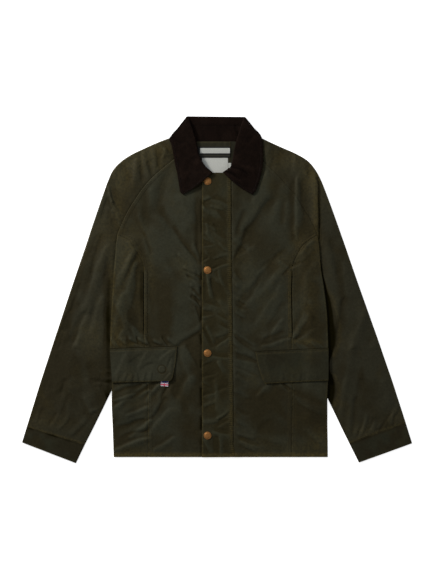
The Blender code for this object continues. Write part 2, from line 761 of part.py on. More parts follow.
def make_neck_trim():
    """Patch, hanger tape and blank labels inside the back neck."""
    patch = 0.5

    def inside(x, y):
        return back_under(x, y) + CLOTH + TAPE_GAP

    def on_patch(x, y):
        return inside(x, y) + patch + TAPE_GAP

    def on_tape(x, y):
        return on_patch(x, y) + TAPE + TAPE_GAP

    slab("neck_patch", -46.0, 31.0, 258.0, 337.0, inside, patch, "waxed_cotton", 6, 8)
    slab("hanger_tape", -44.0, 30.2, 302.0, 325.0, on_patch, TAPE, "dark_tape", 6, 3)
    slab("label_narrow", -38.3, 29.9, 310.2, 323.2, on_tape, TAPE, "label_white", 6, 2)
    slab("label_main", -33.7, 25.3, 262.0, 300.4, on_patch, TAPE, "label_white", 6, 4)
    slab("label_size", 25.8, 32.6, 277.7, 289.1, on_patch, TAPE, "label_white", 2, 2)


def main():
    """Build the whole jacket."""
    clear_scene()
    make_back()
    for side in ("right", "left"):
        make_front(side)
        make_side_front(side)
        make_sleeve(side)
        make_cuff(side)
        make_welt(side)
        make_pocket_flap(side)
        make_wing(side)
    make_storm_flap()
    make_snaps()
    make_flag_tab()
    make_collar_back()
    make_neck_trim()


main()
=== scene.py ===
"""Looks of a waxed cotton jacket that lies flat: fine cloth shells over the frame's solids,
stitching, snaps, labels, light and camera.

Sizes are in millimetres and become metres where a mesh is made. +X is the wearer's left, +Y the
collar and +Z up from the floor.
"""
import math

import bpy
import numpy as np
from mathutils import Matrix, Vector


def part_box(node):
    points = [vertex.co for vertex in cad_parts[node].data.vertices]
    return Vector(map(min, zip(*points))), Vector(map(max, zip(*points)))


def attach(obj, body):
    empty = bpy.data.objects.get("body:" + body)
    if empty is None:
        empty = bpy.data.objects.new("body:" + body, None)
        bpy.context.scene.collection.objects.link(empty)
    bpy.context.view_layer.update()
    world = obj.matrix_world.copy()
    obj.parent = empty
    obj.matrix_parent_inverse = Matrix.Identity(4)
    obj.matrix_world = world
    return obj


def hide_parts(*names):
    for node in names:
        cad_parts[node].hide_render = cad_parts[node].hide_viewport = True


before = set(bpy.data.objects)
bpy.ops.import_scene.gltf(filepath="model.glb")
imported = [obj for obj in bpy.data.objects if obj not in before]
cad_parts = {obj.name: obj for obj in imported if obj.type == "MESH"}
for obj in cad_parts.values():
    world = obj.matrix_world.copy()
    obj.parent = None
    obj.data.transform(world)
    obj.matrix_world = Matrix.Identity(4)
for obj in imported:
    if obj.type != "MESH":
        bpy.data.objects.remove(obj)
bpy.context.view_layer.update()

MM = 0.001            # metres
CLOTH = 1.6           # waxed cotton with its lining, one panel
DOUBLE_CLOTH = 2.0    # storm flap, pocket flaps and cuffs
WELT_CLOTH = 1.2      # pocket welts
CORDUROY = 2.6        # collar
PATCH_CLOTH = 0.5     # patch inside the back neck
TAPE = 0.4            # labels, hanger tape and flag tab
SEAM_GAP = 0.06       # between two pieces that meet in a seam
TAPE_GAP = 0.3        # beneath tapes and labels
LAYER_GAP = 0.5       # between two layers of cloth
FLAP_GAP = 0.8        # beneath the pocket flaps
WELT_GAP = 0.15       # beneath the pocket welts
SLEEVE_STACK = 2 * CLOTH + LAYER_GAP    # front and back of a sleeve, pressed flat
TUCK_LIFT = SLEEVE_STACK + LAYER_GAP    # the body lies this much higher on a tucked sleeve
COLLAR_LIFT = CORDUROY + 0.4            # and the neck on the collar's back fall
COLLAR_ROLL = 2 * CORDUROY + 0.6        # height of a collar wing's rolled edge
BACK_NECK_Y = 338.0   # neck seam of the back panel
SHOULDER_Y = 314.0    # upper end of the fronts' raglan seams
ARMHOLE_Y = 124.0     # lower end of the raglan seams
TUCK_Y = 105.0        # below this the body lies high enough for the sleeve to run beneath it
HEM_Y = -381.0
STORM_TOP_Y = 266.3
STORM_RIGHT_X = -33.4
SLIT_TOP_Y = 44.0     # slits of the hand-warmer pockets
SLIT_LOW_Y = {"right": -101.0, "left": -108.0}
WELT_WIDTH = 6.5
FLAP_LENGTH = 78.0    # pocket flaps, from the top edge to the lower one
FLAP_STITCH = 5.8     # line of stitches below a pocket flap's top edge
CUFF_LENGTH = 44.0
STAND_SEAM_Y = 374.6  # seam between the collar's stand and its fall
COLLAR_TOP_Y = 394.7
COLLAR_TILT = 0.7     # the collar lies a little lower on the wearer's left
COLLAR_HALF = 66.0    # half the width of the stand's seam
WING_STITCH = 5.0     # line of stitches inside a collar wing's outer edge
LADDER_PITCH = 4.4    # stitches of the ladder down the storm flap's sewn edge
FOLD_RETURN = 12.0    # how far the side fronts run back beneath themselves
SLEEVE_RETURN = 8.0   # and the sleeves' front halves
BODY_CROWN = 2.9      # fullness of the fronts at the centre line
SLEEVE_CROWN = 2.2    # fullness of the sleeves
LEAST_FULL = 0.4      # where cloth would sink lower than this, it flattens out instead
GRID = 2.6            # spacing of the cloth's rows
NEAR_EDGE = np.array((0.0, 0.4, 1.0, 2.0, 3.5, 6.0, 9.0))      # columns beside a piece's edges
SIGN = {"right": -1, "left": 1}         # of x on the wearer's right and left
FRONT_TUCK = (130.0, 102.0, -268.0, -314.0)     # heights between which the fronts climb on the sleeves
BACK_TUCK = (121.0, 98.0, -250.0, -296.0)       # and the back panel
NOISE_SHIFT = (1000.37, 1000.71)        # keeps the noise's cells above 0
NOISE_CELLS = 97      # after this many cells the noise repeats

# Sections of the body. Columns: y, right side, right princess seam, left princess seam, left side.
BODY = np.array((
    (314, -77, -77, 82.5, 82.5), (296, -99.4, -99.4, 101.5, 101.5), (281, -118, -118, 119.5, 119.5),
    (262, -140, -140, 139, 139), (238, -163, -163, 160, 160), (214, -180.5, -180.5, 181, 181),
    (185, -199, -199, 198, 198), (164, -210.5, -210.5, 211.5, 211.5), (139, -221.5, -221.5, 224.5, 224.5),
    (124, -227, -222, 227, 230.5), (119, -227.6, -211, 219.5, 231.1), (113, -228.3, -199, 211, 231.8),
    (102, -229.3, -190, 197, 233), (85, -230.5, -180, 186, 234.5), (62, -232.5, -168, 175, 236.2),
    (44, -234, -165.3, 170.5, 238), (0, -237, -165.3, 169, 245), (-60, -240.5, -165.3, 169.7, 251.5),
    (-101, -242.2, -165.3, 170.4, 253.2), (-130, -243, -163.5, 170.8, 254),
    (-170, -240.7, -160.5, 171.6, 254), (-210, -238.5, -157.5, 172.3, 253.5),
    (-250, -239.3, -156.2, 172, 251.7), (-300, -237.8, -155.8, 171.4, 252),
    (-345, -236.2, -155.3, 170.8, 252.7), (HEM_Y, -235, -155, 170.3, 253),
))
SIDE = {"right": 1, "left": 4}
PRINCESS = {"right": 2, "left": 3}

# Columns: y, right edge, left edge.
NECK_EDGES = np.array((
    (314, -73.0, 78.0), (296, -62.0, 66.0), (281, -46.0, 50.0), (262, -20.0, 24.0), (254, 3.0, 3.5),
    (HEM_Y, 3.0, 3.5),
))
BACK_RAGLAN = np.array((
    (338, -58.0, 60.0), (314, -90.0, 93.0), (281, -127.0, 128.0), (238, -168.0, 166.0),
    (185, -201.0, 200.0), (124, -227.0, 230.5),
))
EDGE = {"right": 1, "left": 2}

# Rows across each sleeve. Columns: outer x, outer y, inner x, inner y.
SLEEVES = {
    "right": np.array((
        (-93, 350.5, -71, 318), (-107.6, 345.4, -77, 314), (-140, 333.2, -99.4, 296),
        (-165, 322, -118, 281), (-192, 309.2, -140, 262), (-217.5, 292.6, -163, 238),
        (-236.7, 272, -180.5, 214), (-249, 245, -199, 185), (-259, 217, -210.5, 164),
        (-271, 182.5, -221.5, 139), (-277.5, 163.4, -227, 124), (-284, 144.3, -228.7, 108),
        (-291, 122.6, -226.5, 97), (-299, 98.5, -219, 76), (-309.9, 66.8, -212, 40),
        (-325.4, 21.2, -210, -10), (-340.6, -24.4, -210.5, -65), (-355.6, -70, -211, -118),
        (-370.7, -115.6, -212, -168), (-385.5, -161, -222, -198), (-400.4, -206.8, -241.2, -233),
        (-414.5, -252, -261.8, -275), (-424, -283, -280, -312), (-432.5, -310.5, -299.8, -351.2),
    )),
    "left": np.array((
        (92, 349.8, 76, 318), (103.1, 344.7, 82.5, 314), (130, 332.3, 101.5, 296), (155, 321.4, 119.5, 281),
        (182, 309.3, 139, 262), (207, 294, 160, 238), (225.5, 272, 181, 214), (238.5, 247, 198, 185),
        (250, 218, 211.5, 164), (262.5, 184.4, 224.5, 139), (270, 163.6, 230.5, 124),
        (277, 143.9, 232.3, 108), (284.5, 122.8, 230.5, 97), (293, 98.6, 224, 76), (303.9, 66.8, 219, 40),
        (319.7, 21.2, 217.5, -10), (335.8, -24.4, 220, -65), (352, -70, 222, -118),
        (368.2, -115.6, 224, -168), (383.8, -161.2, 232, -207), (399.5, -206.8, 252.2, -246.7),
        (413.5, -250, 266.5, -276.5), (421.6, -275, 281, -307), (429.8, -300.6, 301, -347.8),
    )),
}
CUFF_ENDS = {"right": (-443.9, -347.5, -320.8, -394.9), "left": (445.0, -349.6, 323.8, -393.6)}

# Rows down each collar wing. Columns: inner x, inner y, outer x, outer y, bow.
WINGS = {
    "right": np.array((
        (-65.4, 394.6, -68.2, 393.6, 0), (-62.6, 385.5, -75.6, 385, 0), (-59, 376, -88, 369, 0),
        (-54, 362, -101, 353, 0), (-48.5, 345, -107.8, 343.5, 0), (-45, 328, -103.3, 330, 0),
        (-42, 311, -98.6, 307, 0), (-36.5, 298, -95, 286, 0), (-30.5, 287.5, -90, 264, 1),
        (-24, 279, -86.5, 243, 1), (-18, 273.5, -82.6, 222.5, 2), (-9.8, 267.2, -77.1, 217.1, 4),
    )),
    "left": np.array((
        (61.6, 393.4, 64.6, 392.2, 0), (58.8, 385, 71.4, 384.4, 0), (55.5, 375, 83.5, 369, 0),
        (51, 360, 95, 354.3, 0), (45.8, 344, 103.3, 343, 0), (41.5, 328, 104.8, 328, 0),
        (38.2, 312, 105.3, 306, 0), (36, 299, 104.4, 286, 0), (34.2, 288.5, 100.5, 265, 1),
        (30, 278, 95.1, 244.5, 2), (22, 272.8, 87.5, 225, 3), (13, 267.2, 80.5, 217.4, 5),
    )),
}

# Largest folds, as in the solids. Columns: x0, y0, x1, y1, spread, height.
FOLDS = (
    (-88, 200, -64, 145, 15, 1.6), (-110, 270, -157, 148, 15, -1.5), (-127, 177, -98, 132, 13, -1.5),
    (-98, 130, -52, 70, 13, -1.4), (-192, 84, -212, 42, 12, 1.3), (-199, -48, -176, -92, 12, -1.3),
    (-120, -228, -180, -248, 13, -1.2), (-130, -262, -214, -290, 13, 1.3),
    (-165, -338, -215, -362, 12, 1.0), (128, 264, 116, 222, 13, 1.3), (183, 245, 181, 130, 14, 1.3),
    (121, 193, 58, 88, 15, -1.7), (154, 91, 105, 54, 13, -1.3), (178, -108, 211, -60, 12, 1.3),
    (158, -96, 112, -112, 12, 1.1), (-212, 268, -206, 242, 11, -1.2), (-193, 275, -188, 240, 11, 1.2),
    (-240, 240, -222, 184, 12, -1.5), (227, 250, 229, 150, 10, 1.9), (244, 238, 250, 150, 11, -1.5),
    (-307, -58, -326, -110, 15, -1.5), (-330, -150, -345, -250, 16, 1.2),
    (-289, -180, -300, -230, 15, -1.3), (344, -39, 307, -130, 15, 2.0), (307, -130, 281, -290, 14, 1.8),
    (355, -290, 385, -262, 12, 1.2),
)

# Finer creases over them, each with a soft ridge beside its trough. Same columns.
CREASES = (
    # right shoulder and raglan
    (-136, 318, -132, 282, 5, -2.5), (-125, 337, -106, 312, 5, -2.3), (-154, 289, -148, 258, 5, -2.0),
    (-165, 310, -160, 280, 6, 1.7), (-212, 284, -203, 255, 6, -2.0), (-186, 292, -186, 250, 6, 1.6),
    (-174, 280, -170, 250, 5, -1.6), (-250, 232, -240, 200, 4, 2.3), (-240, 200, -224, 170, 4, 2.2),
    (-238, 222, -211, 178, 7, -2.8), (-236, 178, -218, 142, 6, 1.4), (-120, 322, -122, 300, 4, 1.3),
    (-226, 292, -236, 262, 6, 1.3), (-252, 205, -262, 170, 6, -1.4),
    # right chest and drags to the storm flap
    (-84, 230, -58, 160, 10, 1.5), (-112, 262, -132, 190, 12, -1.1), (-127, 177, -98, 132, 8, -1.4),
    (-98, 140, -44, 62, 6, -1.7), (-72, 100, -44, 66, 4, -1.3), (-84, 78, -48, 44, 4, 1.6),
    (-72, 50, -40, 33, 3.5, 2.4), (-66, 29, -39, 14, 3.5, -2.4), (-60, 10, -39, -8, 3.5, 2.2),
    (-58, -16, -39, -32, 3.5, -2.0), (-46, 200, -41, 84, 8, -1.1), (-47, 104, -38, 74, 4, -1.4),
    (-150, 226, -148, 170, 8, 0.9), (-166, 128, -151, 84, 4, -1.2), (-176, 168, -160, 130, 6, 0.9),
    (-108, 60, -78, 20, 8, -0.8), (-120, -20, -90, -70, 10, 0.8), (-150, 20, -146, -50, 7, -0.7),
    (-46, 34, -38, 24, 4, -2.2), (-56, 4, -37, -14, 4, -2.0), (-52, -8, -38, -20, 3, 1.6),
    (-48, -18, -36, -38, 4, -1.8), (-46, -42, -36, -66, 4, -1.4), (-36, -95, -88, -127, 6, -1.6),
    (-38, -82, -80, -106, 6, 0.4), (-62, 40, -44, 6, 5, 1.2),
    # right side front and the gathers above the pocket flap
    (-188, 90, -230, 10, 6, 1.3), (-184, 76, -218, 10, 4, -1.2), (-182, 58, -206, -10, 6, 1.0),
    (-176, 50, -190, -30, 5, -1.0), (-214, -10, -232, -80, 6, 1.2), (-194, -40, -167, -96, 2.5, -1.5),
    (-199, -48, -196, -67, 5, -2.0), (-196, -67, -172, -96, 5, -2.2), (-222, -40, -206, -86, 6, 1.5),
    (-190, -92, -178, -112, 4, 1.6), (-214, -92, -224, -108, 4, 1.6), (-241, -112, -234, -124, 3, 3.0),
    (-230, -114, -222, -128, 2.5, -3.0), (-218, -112, -210, -122, 3, 3.0),
    (-206, -108, -202, -124, 2.5, -3.0), (-197, -112, -186, -120, 3, 3.0),
    (-182, -106, -180, -126, 2.5, -2.8), (-174, -114, -160, -119, 3, 2.8),
    (-158, -108, -150, -126, 2.5, -2.5), (-142, -116, -130, -121, 3, 2.4),
    (-124, -110, -114, -124, 2.5, -2.4), (-110, -114, -96, -121, 3, 1.8), (-214, -124, -150, -126, 2, -1.6),
    # right, below the pocket flap
    (-141, -212, -209, -260, 5, -2.7), (-152, -232, -228, -266, 4.5, 2.4),
    (-175, -215, -230, -233, 4, -2.0), (-130, -219, -157, -251, 4, 2.0), (-111, -215, -125, -247, 4, -1.8),
    (-159, -340, -230, -365, 5, 2.2), (-168, -297, -225, -315, 5, -2.0), (-107, -274, -148, -324, 7, 1.5),
    (-158, -268, -205, -286, 4, 1.6), (-150, -300, -196, -336, 4, 1.8), (-160, -318, -222, -340, 4, -1.8),
    (-118, -250, -146, -290, 5, -1.5), (-100, -340, -140, -366, 5, 1.4), (-96, -226, -74, -270, 8, -1.2),
    (-186, -240, -232, -252, 3.5, 1.6), (-60, -200, -84, -250, 8, 1.4), (-64, -130, -44, -170, 6, -1.8),
    (-78, -150, -60, -210, 7, 1.2),
    # right sleeve
    (-307, -57, -326, -110, 8, -2.2), (-313, -110, -316, -142, 8, 1.7), (-289, -174, -285, -210, 9, -1.9),
    (-278, -210, -239, -210, 4, -1.7), (-380, -306, -367, -283, 4, -0.8), (-358, -315, -339, -292, 4, 0.8),
    (-330, -329, -300, -296, 5, 1.1), (-412, -297, -399, -269, 4, 0.7), (-262, 120, -285, 40, 9, -1.2),
    (-274, 118, -366, -158, 11, -1.3), (-250, 96, -300, -40, 9, 1.2), (-300, -40, -330, -128, 10, 1.3),
    (-262, -206, -232, -200, 3, 1.6), (-268, -188, -238, -186, 3, 1.2), (-262, -222, -244, -250, 5, -2.0),
    (-286, -280, -254, -262, 4, 1.4), (-246, 20, -254, -120, 7, -1.3), (-330, -200, -338, -290, 8, 0.5),
    (-300, 60, -318, -20, 10, 1.3), (-345, -180, -352, -230, 9, -1.3), (-262, -20, -282, -96, 9, 1.4),
    (-250, 60, -262, 0, 8, -1.3), (-342, -100, -368, -190, 9, 1.3), (-300, -250, -280, -290, 6, 1.2),
    (-396, -240, -388, -200, 7, -0.6), (-336, -240, -352, -280, 6, -0.6), (-351, -96, -398, -226, 4, 0.9),
    (-289, -39, -335, -160, 5, 0.8), (-312, 10, -352, -90, 4, -0.7), (-318, -130, -352, -230, 4, -0.7),
    # left shoulder and chest
    (112, 262, 90, 205, 8, 1.4), (184, 253, 182, 118, 5, 1.6), (196, 240, 202, 150, 8, -1.1),
    (162, 193, 158, 148, 8, 1.3), (170, 240, 168, 196, 7, -1.0), (119, 202, 71, 134, 8, -1.9),
    (71, 134, 42, 74, 6, -1.6), (150, 230, 128, 150, 12, 1.0), (84, 96, 44, 72, 4, 0.6),
    (70, 118, 44, 98, 4, 0.5), (60, 176, 46, 130, 6, -0.9), (154, 91, 105, 54, 6, -0.9),
    (166, 50, 144, 63, 3, 1.3), (166, 50, 190, 63, 3, -1.3), (166, 50, 149, 36, 3, -1.2),
    (205, 285, 212, 262, 6, -1.3), (150, 318, 140, 292, 6, -1.2), (118, 326, 112, 296, 6, 1.1),
    (178, 302, 176, 276, 6, 1.0), (216, 110, 190, 84, 5, 1.2), (222, 88, 196, 66, 4, -1.1),
    (220, 60, 200, 10, 7, 1.0), (130, 20, 100, -20, 10, 0.9),
    # left waist and pocket
    (175, -106, 212, -60, 4, 1.2), (181, -110, 226, -83, 4, -1.4), (176, -92, 194, -51, 4, -1.0),
    (162, -111, 107, -131, 4, 1.6), (150, -96, 112, -112, 6, -1.6), (183, -121, 194, -131, 2.5, 1.6),
    (199, -121, 210, -131, 2.5, -1.5), (215, -119, 226, -131, 2.5, 1.6), (231, -119, 244, -130, 2.5, -1.5),
    (150, -70, 128, -104, 6, 1.1), (214, -30, 236, -70, 6, 1.1),
    # left front
    (142, 44, 74, -36, 8, 1.1), (124, 56, 52, -24, 6, -1.0), (146, 4, 92, -78, 8, 1.0),
    (100, 14, 56, -52, 5, 0.8), (150, -30, 120, -84, 6, -0.8), (42, -100, 82, -124, 3, 1.3),
    (42, -112, 86, -143, 3, -1.3), (42, -126, 92, -162, 3, 1.2), (42, -176, 88, -196, 3, -0.9),
    (130, 300, 122, 268, 5, -1.0),
    # beside the storm flap, left
    (46, -21, 66, -30, 3, 1.3), (46, -37, 67, -44, 3, -1.2), (45, -51, 62, -60, 3, 1.2),
    (46, -140, 76, -151, 4, 1.4), (48, -155, 85, -167, 4, -1.3), (52, -329, 80, -336, 4, 1.5),
    (52, -342, 94, -354, 4, -1.4), (56, -352, 84, -366, 4, 1.3), (44, 110, 70, 92, 5, 1.0),
    (46, -230, 70, -244, 5, 1.0), (46, -270, 68, -286, 4, -0.9), (44, 10, 62, -2, 4, 1.0),
    (44, 40, 60, 24, 4, -1.0), (46, -190, 66, -206, 4, -0.9), (46, -300, 60, -308, 3, 1.0),
    # left, below the pocket flap
    (149, -212, 167, -231, 3, -1.4), (158, -215, 176, -228, 3, 1.3), (117, -217, 94, -242, 5, 1.2),
    (180, -236, 236, -262, 5, -1.0), (186, -254, 230, -282, 6, 0.9), (200, -320, 240, -350, 7, 0.9),
    (110, -250, 156, -290, 9, -0.8), (90, -330, 150, -350, 8, 0.8), (120, -300, 90, -330, 8, -0.8),
    # left sleeve and the pleats above its cuff
    (344, -39, 307, -130, 8, 0.7), (307, -130, 279, -299, 7, 1.3), (288, -23, 268, -150, 9, -1.8),
    (301, -323, 308, -246, 6, 1.6), (319, -331, 324, -312, 3, 1.5), (333, -326, 341, -290, 3.5, 1.6),
    (357, -322, 362, -310, 2.5, 1.4), (368, -316, 386, -292, 3, 2.0), (400, -301, 402, -284, 3, 1.5),
    (405, -280, 415, -264, 4, 1.3), (346, -320, 356, -298, 3, -1.4), (378, -306, 396, -280, 3.5, -1.4),
    (326, -328, 333, -300, 3, -1.1), (262, 110, 275, 40, 9, -1.5), (290, 60, 302, -10, 10, 1.2),
    (330, 20, 345, -60, 10, -1.0), (360, -120, 340, -200, 9, 1.0), (330, -180, 318, -250, 8, -1.0),
    (380, -200, 392, -250, 8, 0.9),
)

# Gaps where the right front sinks beside the storm flap's free edge, which the front also paints as shade.
# Same columns.
EDGE_GAPS = (
    (-34, 84, -36, 62, 4, -1.4), (-34, 34, -36, 24, 4, -1.6), (-36, 2, -34, -8, 4, -1.4),
    (-34, -42, -36, -70, 3.5, -1.5), (-37, -104, -34, -122, 4, -1.6), (-34, -164, -36, -176, 4, -1.6),
    (-34, -226, -35, -262, 4.5, -1.9), (-34, -292, -35, -316, 4.5, -1.9), (-34, 200, -34, 130, 5, -1.0),
    (-34, -196, -34, -206, 5, -1.2), (-34, -350, -34, -342, 5, -1.2),
)

# Creases in the storm flap's own cloth. Same columns.
STORM_CREASES = (
    (-26, 206, -6, 214, 3.5, 1.0), (-28, 196, -14, 176, 3.5, -0.9), (-10, 188, 10, 180, 3.5, 0.9),
    (4, 176, 20, 160, 4, -0.9), (-24, 150, -20, 128, 3.5, 0.8), (-8, 150, 8, 134, 3.5, -0.9),
    (8, 104, 22, 90, 3.5, 0.8), (-26, 54, -14, 46, 3, 0.9), (4, 40, 12, 10, 3.5, 0.8),
    (-20, -30, 2, -40, 3.5, -0.8), (6, -28, 20, -52, 4, 0.9), (4, -56, 22, -66, 3.5, -0.8),
    (-12, 214, 22, 196, 5, -1.0), (-26, 186, -4, 168, 5, 1.0), (-30, 158, 2, 146, 5, -0.9),
    (2, 132, 22, 118, 5, -0.9), (-24, 128, -12, 118, 4, 1.1), (-30, 100, -12, 104, 3.5, -1.1),
    (-28, 118, -8, 110, 4, 0.7), (-30, 69, -21, 75, 3.5, -1.2), (-26, 84, -16, 76, 3.5, 0.9),
    (-9, 51, 22, 60, 4, -1.5), (-4, 72, 22, 78, 4, 0.8), (-22, 31, -13, -12, 5, 1.5),
    (-13, 22, -2, -14, 4.5, -1.3), (2, 20, 22, -6, 6, 0.8), (-30, 12, -27, -20, 4, -0.8),
    (-30, -58, -12, -57, 3.5, -1.2), (-30, -44, -14, -46, 4, 0.9), (-22, -87, -6, -124, 4, 1.2),
    (-30, -88, -16, -118, 4, -1.1), (10, -78, 23, -86, 4, -1.0), (-2, -124, 23, -108, 5, -1.4),
    (-2, -104, 20, -96, 5, 0.8), (-6, -147, 23, -151, 4.5, -1.5), (4, -166, 14, -184, 5, 1.2),
    (-30, -168, -14, -160, 4, 0.8), (-28, -196, -4, -190, 4, -0.9), (-30, -210, -18, -216, 4, 0.8),
    (-2, -206, -2, -270, 5, 0.7), (-28, -240, -8, -232, 4, -0.9), (6, -228, 22, -222, 4, -0.8),
    (-28, -264, -8, -258, 4, 0.9), (3, -292, 23, -277, 3.5, 1.2), (-27, -303, 0, -298, 5, 0.9),
    (0, -308, 22, -298, 4, -0.9), (-2, -318, 26, -326, 5, -1.2), (7, -336, 9, -372, 4, 1.1),
    (-6, -338, -4, -366, 5, -0.9), (-26, -346, -16, -368, 4, 0.9),
)

# Creases in the pocket flaps, in each flap's own place. Same columns.
FLAP_CREASES = {
    "right": (
        (-150, -206, -148, -190, 3, 0.9), (-166, -207, -163, -192, 3, 0.8),
        (-180, -207, -182, -194, 3, 0.9), (-196, -207, -192, -196, 3, 0.8),
        (-212, -208, -206, -194, 3, 0.9), (-226, -208, -226, -198, 3, 0.7),
        (-106, -142, -128, -160, 4, 0.9), (-104, -156, -112, -172, 3, -0.9),
        (-108, -192, -118, -204, 3, 0.9), (-98, -150, -100, -190, 3, -0.8),
        (-160, -146, -176, -176, 5, 0.8), (-176, -150, -196, -166, 5, -0.8),
        (-206, -150, -226, -190, 6, 0.8), (-150, -168, -170, -180, 4, -0.8),
    ),
    "left": (
        (150, -206, 148, -190, 3, 0.7), (170, -206, 168, -192, 3, -0.7), (188, -205, 190, -192, 3, 0.7),
        (204, -205, 203, -194, 3, -0.6), (110, -160, 124, -200, 6, 0.7), (126, -146, 160, -158, 6, 0.6),
        (180, -150, 220, -186, 9, -0.6), (228, -200, 226, -188, 3, 0.6),
    ),
}

# Creases in the collar's wings. Same columns.
WING_CREASES = (
    (22, 268, 54, 252, 3, -1.7), (38, 277, 66, 266, 3, -1.5), (28, 272, 62, 260, 3, 0.8),
    (34, 258, 60, 240, 3, 1.0), (56, 262, 86, 250, 5, -0.9), (60, 276, 92, 268, 5, 0.9),
    (60, 330, 82, 328, 5, 0.7), (84, 300, 90, 262, 6, -0.7), (-70, 330, -84, 322, 6, 0.8),
    (-52, 300, -66, 288, 5, -0.7), (-82, 270, -70, 240, 6, 0.7), (-60, 262, -74, 236, 5, -0.6),
    (-100, 346, -84, 336, 5, -0.7), (90, 348, 78, 336, 5, 0.7),
)

# Creases in the collar's stand. Same columns.
STAND_CREASES = (
    (40, 374, 53, 346, 4, -1.3), (51, 366, 57, 348, 3, 1.0), (28, 362, 40, 345, 5, 0.7),
    (-52, 372, -43, 350, 4, -0.8), (-26, 368, -22, 348, 5, 0.5), (4, 366, 8, 346, 5, -0.5),
    (20, 372, 34, 362, 3, -0.5),
)


def ramp(value, start, end):
    """Go smoothly from 0 where value is start to 1 where it is end, which may be the lower of the two."""
    share = np.clip((np.asarray(value, float) - start) / (end - start), 0.0, 1.0)
    return share * share * (3.0 - 2.0 * share)


def mix(a, b, share):
    """Go from a to b."""
    return a + (b - a) * share


def bell(distance, width):
    """1 at no distance, fading softly to a third at a width and to nothing beyond it."""
    return np.exp(-((distance / width) ** 2))


def smooth(knots, values, at):
    """A curve through values at rising knots that never swings past them."""
    step = np.diff(knots)
    slope = np.diff(values) / step
    same = slope[:-1] * slope[1:] > 0
    safe = np.where(same, slope[:-1] * slope[1:], 1.0)
    weights = np.where(same, slope[:-1] + slope[1:], 1.0)
    inner = np.where(same, 2 * safe / weights, 0.0)
    tangent = np.concatenate((slope[:1], inner, slope[-1:]))
    at = np.clip(at, knots[0], knots[-1])
    cell = np.clip(np.searchsorted(knots, at, side="right") - 1, 0, len(step) - 1)
    t = (at - knots[cell]) / step[cell]
    h = step[cell]
    return ((2 * t**3 - 3 * t**2 + 1) * values[cell] + (t**3 - 2 * t**2 + t) * h * tangent[cell]
            + (3 * t**2 - 2 * t**3) * values[cell + 1] + (t**3 - t**2) * h * tangent[cell + 1])


def read(table, column, y):
    """Read a column at height y from a table whose first column is y, falling."""
    return smooth(-table[:, 0], table[:, column], -np.asarray(y, float))


def side_seed(seed, side):
    """Seed of something that both sides have."""
    return seed if side == "right" else seed + 10


def noise(x, y, size, seed):
    """Soft noise from -1 to 1 with bumps of a size."""
    values = np.random.default_rng(seed).uniform(-1.0, 1.0, (NOISE_CELLS, NOISE_CELLS))
    u = np.asarray(x, float) / size + NOISE_SHIFT[0]
    v = np.asarray(y, float) / size + NOISE_SHIFT[1]
    i, j = np.floor(u).astype(int), np.floor(v).astype(int)
    s, t = ramp(u - i, 0, 1), ramp(v - j, 0, 1)
    i0, i1, j0, j1 = i % NOISE_CELLS, (i + 1) % NOISE_CELLS, j % NOISE_CELLS, (j + 1) % NOISE_CELLS
    return mix(mix(values[i0, j0], values[i1, j0], s), mix(values[i0, j1], values[i1, j1], s), t)


def crease_heights(x, y, table, wander=1.5, lobe=0.4):
    """Sum of creases that wander sideways. With a lobe, which is a share of its height, a crease fades
    along its length, is sharper on one side and has a lobe of the other sign beside that; without one
    it is a plain ridge or trough."""
    px = x + wander * noise(x, y, 22.0, 5)
    py = y + wander * noise(x, y, 22.0, 6)
    total = np.zeros_like(px)
    for x0, y0, x1, y1, spread, height in table:
        run = np.array((x1 - x0, y1 - y0), float)
        length = np.hypot(*run)
        share = np.clip(((px - x0) * run[0] + (py - y0) * run[1]) / length**2, 0.0, 1.0)
        dx, dy = px - x0 - run[0] * share, py - y0 - run[1] * share
        distance = np.hypot(dx, dy)
        if not lobe:
            total += height * bell(distance, spread)
            continue
        side = (dx * run[1] - dy * run[0]) / length
        reach = spread * (1.0 - 0.35 * np.tanh(side / (0.5 * spread)))
        total += height * (1.0 - 0.3 * share) * bell(distance, reach)
        ends = bell((distance**2 - side**2).clip(0) ** 0.5, spread)
        total -= lobe * height * ends * bell(side - 1.5 * spread, 0.9 * spread)
    return total


def fold_heights(x, y):
    """Height of the largest folds."""
    return crease_heights(x, y, FOLDS, wander=0.0, lobe=0.0)


def body_edge(x, y):
    """Distance of the body's side from the centre line, on the side that x is on."""
    y = np.minimum(y, ARMHOLE_Y)
    return np.where(x > 0, read(BODY, SIDE["left"], y), -read(BODY, SIDE["right"], y))


def tuck_lift(x, y, tuck):
    """Height that the body gains on a tucked sleeve."""
    across = ramp(np.abs(x) / body_edge(x, y), 0.75, 0.86)
    return TUCK_LIFT * across * ramp(y, tuck[0], tuck[1]) * ramp(y, tuck[3], tuck[2])


def neck_lift(x, y):
    """Height that the neck gains where it lies on the collar's back fall."""
    return COLLAR_LIFT * ramp(y, 296.0, 322.0) * ramp(np.abs(x), 152.0, 116.0)


def body_crown(x, y):
    """Fullness of the fronts over the back."""
    across = np.maximum(0.0, 1.0 - (x / body_edge(x, y)) ** 2)
    ends = mix(1.0, 0.12, ramp(y, 235.0, 310.0)) * mix(0.3, 1.0, ramp(y, HEM_Y, -325.0))
    return BODY_CROWN * across * ends


def body_under(x, y):
    """Lower face of the fronts' folded sides."""
    return tuck_lift(x, y, FRONT_TUCK) + neck_lift(x, y)


def back_under(x, y):
    """Lower face of the back panel."""
    return tuck_lift(x, y, BACK_TUCK) + neck_lift(x, y)


